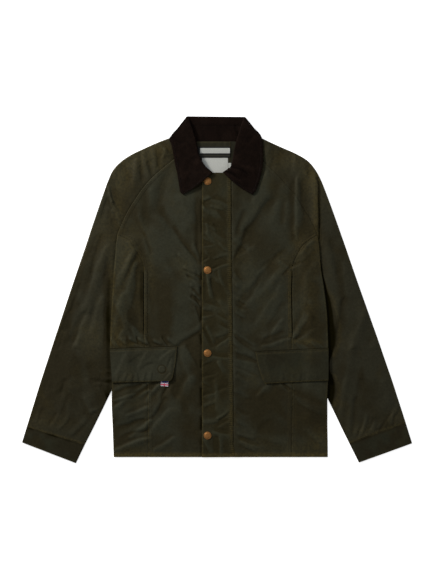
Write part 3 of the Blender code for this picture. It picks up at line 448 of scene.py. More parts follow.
def bare(x, y):
    """1 where the front's cloth shows, 0 beneath the storm flap, the pocket flaps and the collar."""
    storm = 1.0 - ramp(np.abs(x), 42.0, 35.0) * ramp(y, 272.0, 258.0)
    flap = ramp(np.abs(x), 88.0, 100.0) * ramp(y, -130.0, -138.0) * ramp(y, -208.0, -199.0)
    collar = ramp(y, 208.0, 222.0) * ramp(np.abs(x), 108.0, 96.0)
    return storm * (1.0 - flap) * (1.0 - collar)


def rumple(x, y):
    """Creases and soft unevenness of the fronts and sleeves."""
    rolling = 0.75 * noise(x, y * 0.7, 40.0, 11) + 0.42 * noise(x * 0.8 + y * 0.5, y * 0.6, 19.0, 12)
    fine = 0.16 * noise(x, y, 9.0, 13)
    return crease_heights(x, y, CREASES, wander=3.0) + rolling + fine


def storm_left_x(y):
    """Sewn edge of the storm flap, which flares at the hem."""
    return mix(37.4, 32.8, ramp(y, -340.0, 250.0)) + 4.0 * ramp(y, -340.0, HEM_Y)


def felled_rise(x, y):
    """How far the left front swells beside the storm flap's sewn edge."""
    beside = x - storm_left_x(y)
    return 1.9 * ramp(beside, -0.4, 2.2) * ramp(beside, 26.0, 4.0) * ramp(y, 266.0, 252.0)


def edge_gaps(x, y):
    """How far the right front sinks beside the storm flap's free edge."""
    even = -0.45 * (1.0 + noise(y, 0.0 * y, 14.0, 147)) * bell(x + 34.0, 3.0) * ramp(y, 220.0, 190.0)
    return (crease_heights(x, y, EDGE_GAPS, lobe=0.0) + even) * ramp(x, -31.5, -33.4)


def kept_up(raised, shown=1.0):
    """Height that stays above the flat stack: low places flatten out instead of sinking into it."""
    flattened = LEAST_FULL * np.exp(np.minimum(raised, LEAST_FULL) / LEAST_FULL - 1.0)
    return np.where(raised > LEAST_FULL, raised, flattened * shown)


def fullness(x, y, crown):
    """Height of a front above its flat stack."""
    raised = crown + fold_heights(x, y) + bare(x, y) * rumple(x, y) + edge_gaps(x, y)
    return kept_up(raised + felled_rise(x, y))


def front_top(x, y):
    """Upper face of the fronts and side fronts."""
    return body_under(x, y) + SLEEVE_STACK + fullness(x, y, body_crown(x, y))


def front_seat(x, y):
    """Upper face of the fronts beneath what lies on them."""
    crown = np.maximum(0.0, body_crown(x, y) + fold_heights(x, y))
    return body_under(x, y) + SLEEVE_STACK + crown


# ---------------------------------------------------------------- meshes


def make_mesh(name, points, quads, material, attributes=None, smooth_angle=60):
    """Make a smooth-shaded object from arrays of points in millimetres and quads."""
    mesh = bpy.data.meshes.new(name)
    mesh.vertices.add(len(points))
    mesh.vertices.foreach_set("co", (np.asarray(points, float) * MM).ravel())
    mesh.loops.add(quads.size)
    mesh.loops.foreach_set("vertex_index", quads.astype(np.int32).ravel())
    mesh.polygons.add(len(quads))
    mesh.polygons.foreach_set("loop_start", np.arange(0, quads.size, quads.shape[1], dtype=np.int32))
    mesh.update(calc_edges=True)
    mesh.validate()
    for key, values in (attributes or {}).items():
        layer = mesh.attributes.new(key, "FLOAT", "POINT")
        layer.data.foreach_set("value", np.asarray(values, np.float32).ravel())
    mesh.materials.append(material)
    mesh.shade_smooth()
    mesh.set_sharp_from_angle(angle=math.radians(smooth_angle))
    item = bpy.data.objects.new(name, mesh)
    bpy.context.collection.objects.link(item)
    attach(item, "root")
    return item


def close(grid):
    """Put a closed grid's first column after its last."""
    return join(grid, grid[:, :1])


def cell_normals(grid, closed):
    """Unit normals of a grid of points, from the cells round each."""
    if closed:
        grid = join(grid[:, -1:], close(grid))
    cell = np.cross(grid[1:, 1:] - grid[:-1, :-1], grid[1:, :-1] - grid[:-1, 1:])
    padded = np.pad(cell, ((1, 1), (1, 1), (0, 0)))
    total = padded[:-1, :-1] + padded[1:, :-1] + padded[:-1, 1:] + padded[1:, 1:]
    if closed:
        total = total[:, 1:-1]
    return total / np.maximum(np.linalg.norm(total, axis=2, keepdims=True), 1e-9)


def wall(name, grid, thickness, material, closed, wear, relief):
    """Thicken a grid of middle points to both sides and close its rim."""
    rows, columns = grid.shape[:2]
    normals = cell_normals(grid, closed)
    points = np.concatenate((grid + normals * thickness / 2, grid - normals * thickness / 2))
    index = np.arange(rows * columns).reshape(rows, columns)
    if closed:
        index = close(index)
    other = rows * columns
    a, b = index[:-1, :-1].ravel(), index[:-1, 1:].ravel()
    d, c = index[1:, :-1].ravel(), index[1:, 1:].ravel()
    quads = [np.stack((a, d, c, b), 1), np.stack((other + a, other + b, other + c, other + d), 1)]
    rims = [index[0], index[-1, ::-1]]
    if not closed:
        rims += [index[::-1, 0], index[:, -1]]
    for rim in rims:
        quads.append(np.stack((rim[:-1], rim[1:], other + rim[1:], other + rim[:-1]), 1))
    quads = np.concatenate(quads)
    if normals[rows // 2, columns // 2, 2] > 0:
        quads = quads[:, ::-1]
    attributes = {}
    for key, values in (("wear", wear), ("relief", relief)):
        attributes[key] = np.tile((values + np.zeros((rows, columns))).ravel(), 2)
    return make_mesh(name, points.reshape(-1, 3), quads, material, attributes)


def laid(grid, closed):
    """Work out a cloth piece's cut, its width across the rows and its length down them, which are not kept.
    """
    if closed:
        grid = close(grid)
    width = np.linalg.norm(np.diff(grid, axis=1), axis=2).sum(axis=1).max()
    length = np.linalg.norm(np.diff(grid, axis=0), axis=2).sum(axis=0).max()


def make_piece(node_name, kind, grid, thickness, material, rests_on=(), closed=False,
               wear=0.0, relief=0.0):
    """Make the piece that stands for a node; with something to rest on, the width and length of its cut are
    worked out but not kept.
    """
    piece = wall(node_name + "_" + kind, grid, thickness, material, closed, wear, relief)
    if rests_on:
        laid(grid, closed)
    return finish_piece(piece, node_name)


def finish_piece(piece, node_name=None):
    """Hide the solid that a piece stands for, if it has one, and return the piece."""
    if node_name:
        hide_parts(node_name)
    return piece


def stack(x, y, z):
    """Join three arrays into a grid of points."""
    x, y, z = np.broadcast_arrays(x, y, z)
    return np.stack((x, y, z), axis=2)


def join(first, second):
    """Put two grids side by side."""
    return np.concatenate((first, second), axis=1)


def each_row(y, x):
    """Each row's y, for every column of x."""
    return y[:, None] + 0.0 * x


def plan(start, direction, reach):
    """Plan positions at distances from each row's start."""
    return start[:, :1] + direction[:, :1] * reach, start[:, 1:] + direction[:, 1:] * reach


def directions(first, last):
    """Unit vector from one plan position to another, and the distance, for each row."""
    run = last - first
    length = np.hypot(run[:, 0], run[:, 1])
    return run / length[:, None], length


def spread(width, spacing=GRID):
    """Distances across each row, dense at both edges; width has one value a row."""
    width = np.asarray(width, float)[:, None]
    near = NEAR_EDGE[None, :] * np.minimum(1.0, width / 40.0)
    count = max(2, int(math.ceil(width.max() / spacing)))
    share = np.linspace(0.0, 1.0, count + 2)[None, 1:-1]
    middle = near[:, -1:] + (width - 2 * near[:, -1:]) * share
    return np.concatenate((near, middle, width - near[:, ::-1]), axis=1)


def seam_dip(distance, depth=0.75):
    """How far cloth rolls down at a seamed edge."""
    return depth * bell(distance, 1.5)


def pucker(distance, along, seed, height=0.3):
    """Small puckers along a seam, fading away from it."""
    still = np.zeros_like(along)
    waves = noise(along, still, 6.5, seed) + 0.6 * noise(along, still, 14.0, seed + 1)
    return height * waves * np.exp(-distance / 7.0)


def seam_wear(distance):
    """How worn the cloth is at a seamed edge and along its second row of stitches."""
    return bell(distance, 1.6) + 0.35 * bell(distance - 7.5, 2.4)


def hem_rise(hem, x, seed):
    """How far the turned hem stands out, with its puckers."""
    return 0.4 * ramp(hem, 10.5, 8.5) + pucker(hem, x, seed, 0.35)


def hem_wear(hem):
    """How worn the cloth is at the hem and along its stitches."""
    return bell(hem, 2.0) + 0.6 * ramp(hem, 12.0, 7.0)


def half_turn(steps):
    """Angles of a half turn, from straight down to straight up."""
    return np.pi * (np.linspace(0.0, 1.0, steps + 1) - 0.5)


def folded_edge(under, top, thickness, back):
    """Middle line of cloth folded round an edge: distances in from the edge, and heights."""
    radius = (top - under) / 2
    bend = radius - thickness / 2
    angles = half_turn(10)
    distance = radius[:, None] - bend[:, None] * np.cos(angles)
    height = (under + radius)[:, None] + bend[:, None] * np.sin(angles)
    runs = np.linspace(1.0, 0.0, 4)[:-1] * back[:, None]
    flat = np.repeat((under + thickness / 2)[:, None], runs.shape[1], axis=1)
    return join(radius[:, None] + runs, distance), join(flat, height)


# ---------------------------------------------------------------- materials


def new_material(name):
    """A Principled material: itself, its node tree, its shader and the object's coordinates."""
    material = bpy.data.materials.new(name)
    material.use_nodes = True
    tree = material.node_tree
    place = tree.nodes.new("ShaderNodeTexCoord").outputs["Object"]
    return material, tree, tree.nodes["Principled BSDF"], place


def feed(tree, socket, value):
    """Link a socket to another one, or set its value; colours are given without alpha."""
    if isinstance(value, bpy.types.NodeSocket):
        tree.links.new(value, socket)
    elif isinstance(value, tuple):
        socket.default_value = (*value, 1.0)[:len(socket.default_value)]
    else:
        socket.default_value = value


def node(tree, kind, inputs=None, **settings):
    """Add a node with its settings and inputs."""
    item = tree.nodes.new(kind)
    for key, value in settings.items():
        setattr(item, key, value)
    for key, value in (inputs or {}).items():
        feed(tree, item.inputs[key], value)
    return item


def attribute_node(tree, name):
    """A value that each point of a piece holds."""
    return node(tree, "ShaderNodeAttribute", attribute_name=name).outputs["Fac"]


def noise_node(tree, place, scale, detail, roughness=0.55):
    """A noise texture; scale is in bumps a metre."""
    inputs = {"Vector": place, "Scale": scale, "Detail": detail, "Roughness": roughness}
    return node(tree, "ShaderNodeTexNoise", inputs).outputs["Fac"]


def wave_node(tree, place, direction, pitch, distortion, detail=1.0):
    """Waves a pitch apart in metres; at a scale of 1 the texture's waves are 2 pi / 20 apart."""
    inputs = {"Vector": place, "Scale": 2 * math.pi / (20.0 * pitch), "Distortion": distortion,
              "Detail Scale": detail}
    return node(tree, "ShaderNodeTexWave", inputs, bands_direction=direction).outputs["Fac"]


def math_node(tree, operation, first, second=0.5, clamp=False):
    """A math node; numbers and sockets may both be given."""
    item = node(tree, "ShaderNodeMath", {0: first, 1: second}, operation=operation, use_clamp=clamp)
    return item.outputs[0]


def sum_node(tree, *terms):
    """Sum of (socket, weight) pairs."""
    total = None
    for value, weight in terms:
        if weight != 1.0:
            value = math_node(tree, "MULTIPLY", value, weight)
        total = value if total is None else math_node(tree, "ADD", total, value)
    return total


def fit_node(tree, value, low, high, to_low=0.0, to_high=1.0):
    """Map a range onto another, smoothly and clamped."""
    inputs = {"Value": value, "From Min": low, "From Max": high, "To Min": to_low, "To Max": to_high}
    return node(tree, "ShaderNodeMapRange", inputs, interpolation_type="SMOOTHSTEP").outputs["Result"]


def blend_node(tree, share, first, second, blend="MIX"):
    """Mix two colours, each a socket or an RGB triple."""
    item = node(tree, "ShaderNodeMix", data_type="RGBA", blend_type=blend)
    for place, value in ((0, share), (6, first), (7, second)):
        feed(tree, item.inputs[place], value)
    return item.outputs[2]


def weave_height(tree, place, pitch):
    """A plain weave: threads along X and Y, over and under."""
    threads = [wave_node(tree, place, direction, pitch, 1.5, 2.0) for direction in ("X", "Y")]
    return math_node(tree, "MULTIPLY", *threads)


def set_surface(tree, shader, values, height, strength, depth):
    """Feed the shader's inputs, and bump the surface; depth is in metres."""
    for key, value in values.items():
        feed(tree, shader.inputs[key], value)
    bump = node(tree, "ShaderNodeBump", {"Strength": strength, "Distance": depth, "Height": height})
    feed(tree, shader.inputs["Normal"], bump.outputs["Normal"])


COTTON_PITCH = 0.0007                 # metres between threads
LABEL_PITCH = 0.0004
THREAD_PITCH = 0.0003
FLAG_PITCH = 0.0005
WALE = 0.0017                         # metres between the corduroy's ribs
OCHRE = (0.062, 0.046, 0.0135)        # wax worn thin along edges
FADED_OCHRE = tuple(value * 0.55 for value in OCHRE)
SHADE_COLOUR = (0.0044, 0.0034, 0.0004)     # painted shade of deep creases, gaps and tucks


def waxed_cotton(name, dark, light):
    """Waxed cotton: mottled olive with painted blue-grey sheen on raised cloth, painted shade in deep
    creases and gaps, and ochre wear along edges.
    """
    material, tree, shader, place = new_material(name)
    wear = attribute_node(tree, "wear")
    relief = attribute_node(tree, "relief")
    broad = noise_node(tree, place, 7.0, 3.0)
    medium = noise_node(tree, place, 30.0, 4.0, 0.6)
    fine = noise_node(tree, place, 190.0, 4.0, 0.65)
    # Mottled tone from the noise, plus painted sheen: where the relief is high the colour goes to the
    # lighter, bluer olive.
    mottle_and_sheen = fit_node(tree, sum_node(tree, (broad, 0.9), (medium, 0.5), (relief, 0.6)), 0.42, 1.02)
    colour = blend_node(tree, mottle_and_sheen, dark, light)
    brown = fit_node(tree, noise_node(tree, place, 13.0, 5.0, 0.7), 0.5, 0.75, 0.0, 0.35)
    colour = blend_node(tree, brown, colour, FADED_OCHRE)
    rub = math_node(tree, "MULTIPLY", wear, fit_node(tree, fine, 0.3, 0.62, 0.35, 1.0), clamp=True)
    colour = blend_node(tree, rub, colour, OCHRE)
    # Painted shade: where the relief is low, the colour goes to a warm near-black and the specular
    # reflection weakens.
    hollow = fit_node(tree, relief, -2.2, -0.6, 1.0, 0.0)
    colour = blend_node(tree, hollow, colour, SHADE_COLOUR)
    grain = fit_node(tree, fine, 0.3, 0.7, 0.86, 1.12)
    crumple = noise_node(tree, place, 75.0, 4.0, 0.6)
    values = {
        "Base Color": blend_node(tree, 1.0, colour, grain, "MULTIPLY"),
        "Roughness": fit_node(tree, sum_node(tree, (medium, 1.0), (fine, 0.4)), 0.4, 1.0, 0.56, 0.7),
        "Specular IOR Level": fit_node(tree, hollow, 0.0, 1.0, 0.11, 0.02),
        "Specular Tint": (1.0, 0.93, 0.7),
        "Sheen Weight": 0.01,
        "Sheen Roughness": 0.45,
        "Sheen Tint": (0.72, 0.82, 0.8),
    }
    height = sum_node(tree, (weave_height(tree, place, COTTON_PITCH), 0.06), (crumple, 1.0), (fine, 0.2))
    set_surface(tree, shader, values, height, 0.55, 0.0011)
    return material


def corduroy(name, turn):
    """Fine-wale corduroy whose ribs run at an angle from the collar's length."""
    material, tree, shader, place = new_material(name)
    turned = node(tree, "ShaderNodeMapping", {"Vector": place, "Rotation": (0.0, 0.0, turn)})
    rib = wave_node(tree, turned.outputs["Vector"], "X", WALE, 0.6)
    fuzz = noise_node(tree, place, 900.0, 3.0, 0.7)
    nap = noise_node(tree, place, 24.0, 4.0, 0.6)
    # The ribs' grooves are painted darker than their ridges, as shade.
    groove, ridge, worn = (0.0021, 0.001, 0.0007), (0.0102, 0.0053, 0.0034), (0.014, 0.0078, 0.0053)
    colour = blend_node(tree, fit_node(tree, rib, 0.0, 0.8), groove, ridge)
    colour = blend_node(tree, fit_node(tree, nap, 0.45, 0.75, 0.0, 0.5), colour, worn)
    # Painted light and shade: the relief darkens the colour in creases and lightens it on ridges.
    shade = fit_node(tree, attribute_node(tree, "relief"), -1.5, 1.5, 0.3, 1.7)
    values = {
        "Base Color": blend_node(tree, 1.0, colour, shade, "MULTIPLY"),
        "Roughness": 0.92,
        "Specular IOR Level": 0.05,
        "Sheen Weight": 0.02,
        "Sheen Roughness": 0.5,
        "Sheen Tint": (0.75, 0.55, 0.5),
    }
    set_surface(tree, shader, values, sum_node(tree, (rib, 1.0), (fuzz, 0.35)), 0.8, 0.0006)
    return material


def antique_brass(name, base, edge):
    """Brass with random darker tarnish, which also roughens and slightly bumps it."""
    material, tree, shader, place = new_material(name)
    tarnish = noise_node(tree, place, 420.0, 4.0, 0.6)
    values = {
        "Base Color": blend_node(tree, fit_node(tree, tarnish, 0.35, 0.7, 0.0, 0.55), base, edge),
        "Roughness": fit_node(tree, tarnish, 0.3, 0.7, 0.6, 0.72),
        "Metallic": 1.0,
    }
    set_surface(tree, shader, values, tarnish, 0.15, 0.0002)
    return material


def woven(name, base, shade, pitch=LABEL_PITCH, roughness=0.75, stripe=None):
    """A closely woven tape, label or thread; stripe colours it where the piece says so."""
    material, tree, shader, place = new_material(name)
    weave = weave_height(tree, place, pitch)
    cloud = noise_node(tree, place, 60.0, 3.0)
    colour = blend_node(tree, fit_node(tree, weave, 0.0, 0.9), shade, base)
    colour = blend_node(tree, fit_node(tree, cloud, 0.45, 0.8, 0.0, 0.35), colour, shade)
    if stripe:
        colour = blend_node(tree, attribute_node(tree, "relief"), colour, stripe)
    values = {"Base Color": colour, "Roughness": roughness, "Specular IOR Level": 0.3}
    set_surface(tree, shader, values, weave, 0.5, 0.0002)
    return material


def flag_weave(name):
    """The half of a Union flag that a folded tab shows, from its geometry alone."""
    material, tree, shader, place = new_material(name)
    width = math_node(tree, "ABSOLUTE", attribute_node(tree, "flag_u"))
    height = attribute_node(tree, "flag_v")
    blue, white, red = (0.006, 0.026, 0.15), (0.5, 0.5, 0.54), (0.42, 0.03, 0.07)
    diagonal = math_node(tree, "SUBTRACT", math_node(tree, "MULTIPLY", width, 1.3), height)
    diagonal = math_node(tree, "ABSOLUTE", diagonal)
    above = math_node(tree, "SUBTRACT", height, 0.7, clamp=True)
    upright = math_node(tree, "ADD", math_node(tree, "ADD", width, 0.2), above)
    arms = math_node(tree, "MINIMUM", upright, math_node(tree, "ABSOLUTE", height))
    bands = ((diagonal, 0.3, white), (diagonal, 0.08, red), (arms, 0.52, white), (arms, 0.34, red))
    colour = blue
    for value, half, paint in bands:
        colour = blend_node(tree, math_node(tree, "LESS_THAN", value, half), colour, paint)
    below = math_node(tree, "LESS_THAN", height, -0.34)
    below = math_node(tree, "MULTIPLY", below, math_node(tree, "GREATER_THAN", width, 0.14))
    values = {"Base Color": blend_node(tree, below, colour, white), "Roughness": 0.7}
    set_surface(tree, shader, values, weave_height(tree, place, FLAG_PITCH), 0.4, 0.0002)
    return material


# The waxed cottons. Columns: name, dark olive, light olive.
COTTON, COTTON_SLEEVE, COTTON_TRIM, COTTON_DARK, COTTON_INSIDE = [
    waxed_cotton("waxed_cotton_" + name, dark, light) for name, dark, light in (
        ("body", (0.0175, 0.0140, 0.0060), (0.0255, 0.0256, 0.0162)),
        ("sleeve", (0.0165, 0.0134, 0.0062), (0.0232, 0.0216, 0.0129)),
        ("trim", (0.0184, 0.0147, 0.0055), (0.0264, 0.0255, 0.0144)),
        ("dark", (0.0152, 0.0126, 0.0062), (0.0186, 0.0182, 0.0104)),
        ("inside", (0.0140, 0.0129, 0.0079), (0.0200, 0.0189, 0.0114)),
    )
]
CORD = {side: corduroy("corduroy_" + side, math.radians(turn))
        for side, turn in (("right", 14), ("left", -12), ("back", 0))}
BRASS = antique_brass("antique_brass", (0.35, 0.166, 0.056), (0.19, 0.087, 0.03))
DARK_BRASS = antique_brass("dark_brass", (0.1, 0.06, 0.03), (0.02, 0.013, 0.008))
LABEL = woven("label_white", (0.6, 0.6, 0.57), (0.42, 0.42, 0.39))
DARK_TAPE = woven("dark_tape", (0.008, 0.0075, 0.006), (0.003, 0.003, 0.003), stripe=(0.02, 0.0185, 0.0095))
THREAD = woven("thread_ochre", (0.036, 0.027, 0.0095), (0.018, 0.0135, 0.005), THREAD_PITCH)
THREAD_DARK = woven("thread_brown", (0.011, 0.006, 0.005), (0.005, 0.003, 0.003), THREAD_PITCH, 0.8)
FLAG = flag_weave("flag_tab_weave")
SLOTS = {
    "waxed_cotton": (COTTON, COTTON_SLEEVE, COTTON_TRIM, COTTON_DARK, COTTON_INSIDE, THREAD),
    "corduroy": (*CORD.values(), THREAD_DARK),
    "antique_brass": (BRASS, DARK_BRASS),
    "dark_tape": (DARK_TAPE,),
    "label_white": (LABEL,),
    "flag_tab": (FLAG,),
}
SLOT_OF = {material: slot for slot, materials in SLOTS.items() for material in materials}


# ---------------------------------------------------------------- stitches


def stitches(name, runs, material, pitch=3.4, length=2.3, width=0.55):
    """Rows of stitches as one mesh; each run is a line of points on the cloth's upper face."""
    rings = np.array((-1.0, -0.75, 0.0, 0.75, 1.0))
    widths = np.array((0.15, 0.75, 1.0, 0.75, 0.15))
    sides = 6
    angles = 2 * np.pi * np.arange(sides) / sides
    points, quads, start = [], [], 0
    ring_index = np.arange(len(rings) * sides).reshape(len(rings), sides)
    following = np.roll(ring_index, -1, axis=1)
    base_quads = np.stack((ring_index[:-1], following[:-1], following[1:], ring_index[1:]), 2).reshape(-1, 4)
    for run in runs:
        run = np.asarray(run, float)
        along = np.concatenate(((0.0,), np.cumsum(np.linalg.norm(np.diff(run, axis=0), axis=1))))
        count = int(along[-1] // pitch)
        if count < 1:
            continue
        middles = (np.arange(count) + 0.5) * along[-1] / count
        start_points, end_points = [
            np.stack([np.interp(middles + half, along, run[:, axis]) for axis in range(3)], 1)
            for half in (-length / 2, length / 2)
        ]
        centre = (start_points + end_points) / 2
        tangent = end_points - start_points
        tangent /= np.linalg.norm(tangent, axis=1, keepdims=True)
        across = np.cross(tangent, (0.0, 0.0, 1.0))
        across /= np.linalg.norm(across, axis=1, keepdims=True)
        up = np.cross(across, tangent)
        for place, wide in zip(rings, widths):
            for angle in angles:
                points.append(centre + tangent * place * length / 2
                              + across * (math.cos(angle) * wide * width / 2)
                              + up * (math.sin(angle) * wide * width / 2 + 0.05))
        for stitch in range(count):
            quads.append(start + stitch + base_quads * count)
        start += len(rings) * sides * count
    item = make_mesh(name, np.concatenate(points), np.concatenate(quads), material, smooth_angle=80)
    return finish_piece(item)


def offset_line(x, y, distance):
    """A plan line moved sideways, to its left where distance is positive."""
    dx, dy = np.gradient(x), np.gradient(y)
    size = np.hypot(dx, dy)
    return x - dy / size * distance, y + dx / size * distance


def on_top(x, y, surface, above):
    """A line of points above a surface."""
    return np.stack((x, y, surface(x, y) + above), 1)


# ---------------------------------------------------------------- body


def heights(top, bottom, spacing=GRID):
    """The y of evenly spaced rows from top to bottom."""
    return np.linspace(top, bottom, int(math.ceil((top - bottom) / spacing)) + 1)


def fold_return(y):
    """How far back beneath themselves the side fronts run, which starts below the armhole."""
    return mix(1.0, FOLD_RETURN, ramp(y, 119.0, 98.0))


def make_front(side, welt):
    """Centre front, with a felled raglan and princess seam at its outer edge; the welt it is given is not
    used.
    """
    sign = SIGN[side]
    y = np.sort(np.append(heights(SHOULDER_Y, HEM_Y), (ARMHOLE_Y + 0.2, ARMHOLE_Y)))[::-1]
    seam = np.where(y > ARMHOLE_Y, read(BODY, SIDE[side], y), read(BODY, PRINCESS[side], y))
    seam = seam - sign * SEAM_GAP / 2
    edge = np.interp(-y, -NECK_EDGES[:, 0], NECK_EDGES[:, EDGE[side]]) + sign * SEAM_GAP / 2
    across = spread(np.abs(seam - edge))
    x = seam[:, None] - sign * across
    rows = each_row(y, x)
    hem = rows - HEM_Y
    top = front_top(x, rows) + 0.45 * ramp(across, 10.0, 7.5) + pucker(across, rows, side_seed(21, side))
    top += hem_rise(hem, x, 41) - seam_dip(across) - seam_dip(hem, 0.5)
    wear = seam_wear(across) * mix(0.32, 0.14, ramp(rows, 110.0, 140.0)) + hem_wear(hem)
    wear += soft_places(x, rows, OCHRE_PLACES)
    # Painted sheen and shade after the creases and patches, and painted shade in the gaps beside the storm
    # flap.
    relief = rumple(x, rows) * 0.35 + soft_places(x, rows, SHEEN_AND_SHADE_PATCHES) + 0.8 * edge_gaps(x, rows)
    make_piece("front_" + side, "cloth", stack(x, rows, top - CLOTH / 2), CLOTH, COTTON,
               ["back_panel_cloth"], wear=wear, relief=relief)


def make_side_front(side):
    """Side front, folded round the side of the body."""
    sign = SIGN[side]
    y = heights(ARMHOLE_Y - 0.2, HEM_Y)
    edge = read(BODY, SIDE[side], y)
    slit = 2.6 * ramp(y, SLIT_LOW_Y[side] - 8.0, SLIT_LOW_Y[side] + 8.0)
    slit *= ramp(y, SLIT_TOP_Y + 6.0, SLIT_TOP_Y - 14.0)
    seam = read(BODY, PRINCESS[side], y) + sign * (SEAM_GAP / 2 + slit)
    distance, height = folded_edge(body_under(edge, y), front_top(edge, y), CLOTH, fold_return(y))
    start = distance[:, -1]
    width = (np.abs(edge) - np.abs(seam) - start)[:, None]
    flat = width * (spread(np.full(len(y), 100.0), 100.0 / 18) / 100.0)[:, 1:]       # shares of the width
    x_flat = edge[:, None] - sign * (start[:, None] + flat)
    rows = each_row(y, x_flat)
    to_seam = width - flat
    hem = rows - HEM_Y
    top = front_top(x_flat, rows) + hem_rise(hem, x_flat, 42) + pucker(to_seam, rows, side_seed(51, side))
    top -= seam_dip(to_seam) + seam_dip(hem, 0.5)
    x = join(edge[:, None] - sign * distance, x_flat)
    rows = each_row(y, x)
    wrap = distance.shape[1]
    wear = soft_places(x, rows, OCHRE_PLACES) + hem_wear(rows - HEM_Y)
    wear[:, wrap:] += seam_wear(to_seam) * 0.3
    wear[:, wrap - 8:wrap + 3] += 0.16      # rubbed along the fold
    # Painted sheen and shade after the creases and patches.
    relief = rumple(x, rows) * 0.35 + soft_places(x, rows, SHEEN_AND_SHADE_PATCHES)
    make_piece("side_front_" + side, "cloth", stack(x, rows, join(height, top - CLOTH / 2)), CLOTH, COTTON,
               ["back_panel_cloth", "sleeve_front_%s_cloth" % side], wear=wear, relief=relief)


# Soft lighter and darker places of the waxed cloth: tone that varies, painted sheen where the strength is
# above 0, lighter and bluer, and painted shade where it is below. Columns: x, y, x size, y size, strength.
SHEEN_AND_SHADE_PATCHES = (
    (-78, 190, 26, 55, 0.7), (-118, 200, 14, 60, 0.35), (-150, 250, 30, 40, 0.3), (-200, 290, 35, 30, 0.6),
    (-226, 230, 14, 36, 0.5), (-150, 320, 18, 30, 0.4), (-192, 80, 16, 34, 0.15), (-196, 10, 10, 80, 0.4),
    (-172, 0, 8, 76, -1.5), (-116, -45, 14, 60, -0.8), (-60, 20, 26, 50, 0.3), (-110, 90, 34, 60, 0.2),
    (-46, 150, 8, 60, -0.3), (-78, -80, 24, 40, 0.4), (-46, -150, 12, 50, -0.5), (-90, -230, 40, 26, -0.4),
    (-115, -310, 40, 40, 0.35), (-200, -240, 30, 22, 0.1), (-210, -300, 30, 30, 0.3),
    (-200, -60, 30, 30, -0.3), (-190, -100, 34, 10, 0.4), (-220, -20, 12, 60, 0.2),
    (100, 215, 26, 50, 0.75), (140, 170, 14, 60, 0.3), (182, 190, 7, 60, 0.55), (210, 180, 12, 70, 0.2),
    (180, 285, 45, 28, 0.5), (228, 240, 8, 24, 0.5), (85, 30, 34, 50, 0.4), (60, 120, 26, 34, -0.4),
    (120, -40, 34, 40, 0.3), (150, -100, 24, 10, 0.4), (100, -320, 60, 40, -0.1), (60, -220, 20, 60, 0.3),
    (210, 60, 14, 60, -0.2), (205, -20, 26, 80, -0.3), (222, -40, 16, 70, -0.7), (200, -300, 40, 50, -0.4),
    (120, -260, 40, 40, -0.3), (-262, 150, 16, 60, 0.3), (-300, 60, 22, 70, -0.2), (-262, -40, 22, 60, 0.3),
    (-290, -180, 40, 40, -0.4), (-370, -250, 50, 50, -0.4), (-330, -260, 20, 40, -0.1),
    (262, 60, 12, 60, 0.5), (330, -50, 22, 70, 0.6), (252, 175, 14, 50, 0.75), (268, 100, 16, 40, 0.4),
    (300, 70, 14, 60, 0.3), (350, -150, 26, 50, 0.5), (310, -220, 16, 70, 0.45), (390, -250, 22, 40, 0.4),
    (180, -270, 60, 50, -0.25), (100, -260, 40, 60, -0.1), (300, -90, 18, 55, 0.55),
    (285, 10, 11, 40, -0.3), (-300, -46, 12, 40, 0.4), (-290, -110, 26, 40, 0.4), (-250, -80, 8, 70, -0.9),
    (-276, 20, 10, 50, 0.4), (-250, -250, 20, 20, -0.6), (-275, 40, 12, 60, 0.3),
)

# Soft places where the wax has turned ochre. Columns: x, y, x size, y size, strength.
OCHRE_PLACES = (
    (-170, 300, 60, 30, 0.3), (-215, 255, 26, 40, 0.35), (-130, 325, 30, 18, 0.3), (-225, 180, 14, 40, 0.3),
    (-262, 130, 20, 50, 0.2), (-200, 80, 24, 50, 0.3), (-70, 60, 26, 30, 0.1), (-150, 40, 8, 60, 0.2),
    (165, 300, 50, 26, 0.3), (215, 260, 22, 40, 0.45), (226, 180, 10, 60, 0.4), (250, 230, 20, 40, 0.2),
    (225, 80, 14, 40, 0.15), (205, -20, 28, 80, 0.16), (190, 110, 20, 40, 0.2), (150, 60, 30, 30, 0.15),
    (60, 60, 30, 50, 0.12), (235, -345, 30, 34, 0.3), (180, -360, 50, 14, 0.2), (90, -350, 50, 20, 0.15),
    (-200, -365, 40, 10, 0.2), (-230, -110, 14, 30, 0.3), (-200, -122, 30, 6, 0.35),
    (200, -118, 40, 6, 0.4), (-240, 0, 8, 110, 0.2), (-226, -10, 20, 90, 0.16), (-300, 120, 16, 60, 0.15),
    (300, 120, 12, 60, 0.1), (-285, -110, 28, 40, 0.2), (330, -320, 30, 16, 0.2),
    (-380, -300, 50, 16, 0.15), (400, -290, 30, 20, 0.1),
)


def soft_places(x, y, table):
    """Strength of the soft places of a table."""
    total = np.zeros_like(x, dtype=float)
    for px, py, sx, sy, strength in table:
        total += strength * np.exp(-(((x - px) / sx) ** 2) - ((y - py) / sy) ** 2)
    return total


def make_back():
    """Back panel, which shows inside the neck and at the hem."""
    y = heights(BACK_NECK_Y, HEM_Y, 9.0)
    fold = fold_return(y) + SLEEVE_STACK / 2 + SEAM_GAP
    half = {}
    for side, sign in SIGN.items():
        raglan = sign * np.interp(-y, -BACK_RAGLAN[:, 0], BACK_RAGLAN[:, EDGE[side]]) - SEAM_GAP / 2
        half[side] = np.where(y < ARMHOLE_Y, sign * read(BODY, SIDE[side], y) - fold, raglan)[:, None]
    share = np.linspace(-1.0, 1.0, 57)[None, :]
    x = np.where(share < 0, half["right"] * share, half["left"] * share)
    rows = each_row(y, x)
    make_piece("back_panel", "cloth", stack(x, rows, back_under(x, rows) + CLOTH / 2), CLOTH, COTTON_INSIDE,
               ["floor", "collar_fall_back_cloth"], wear=bell(rows - HEM_Y, 3.0))


# ---------------------------------------------------------------- sleeves


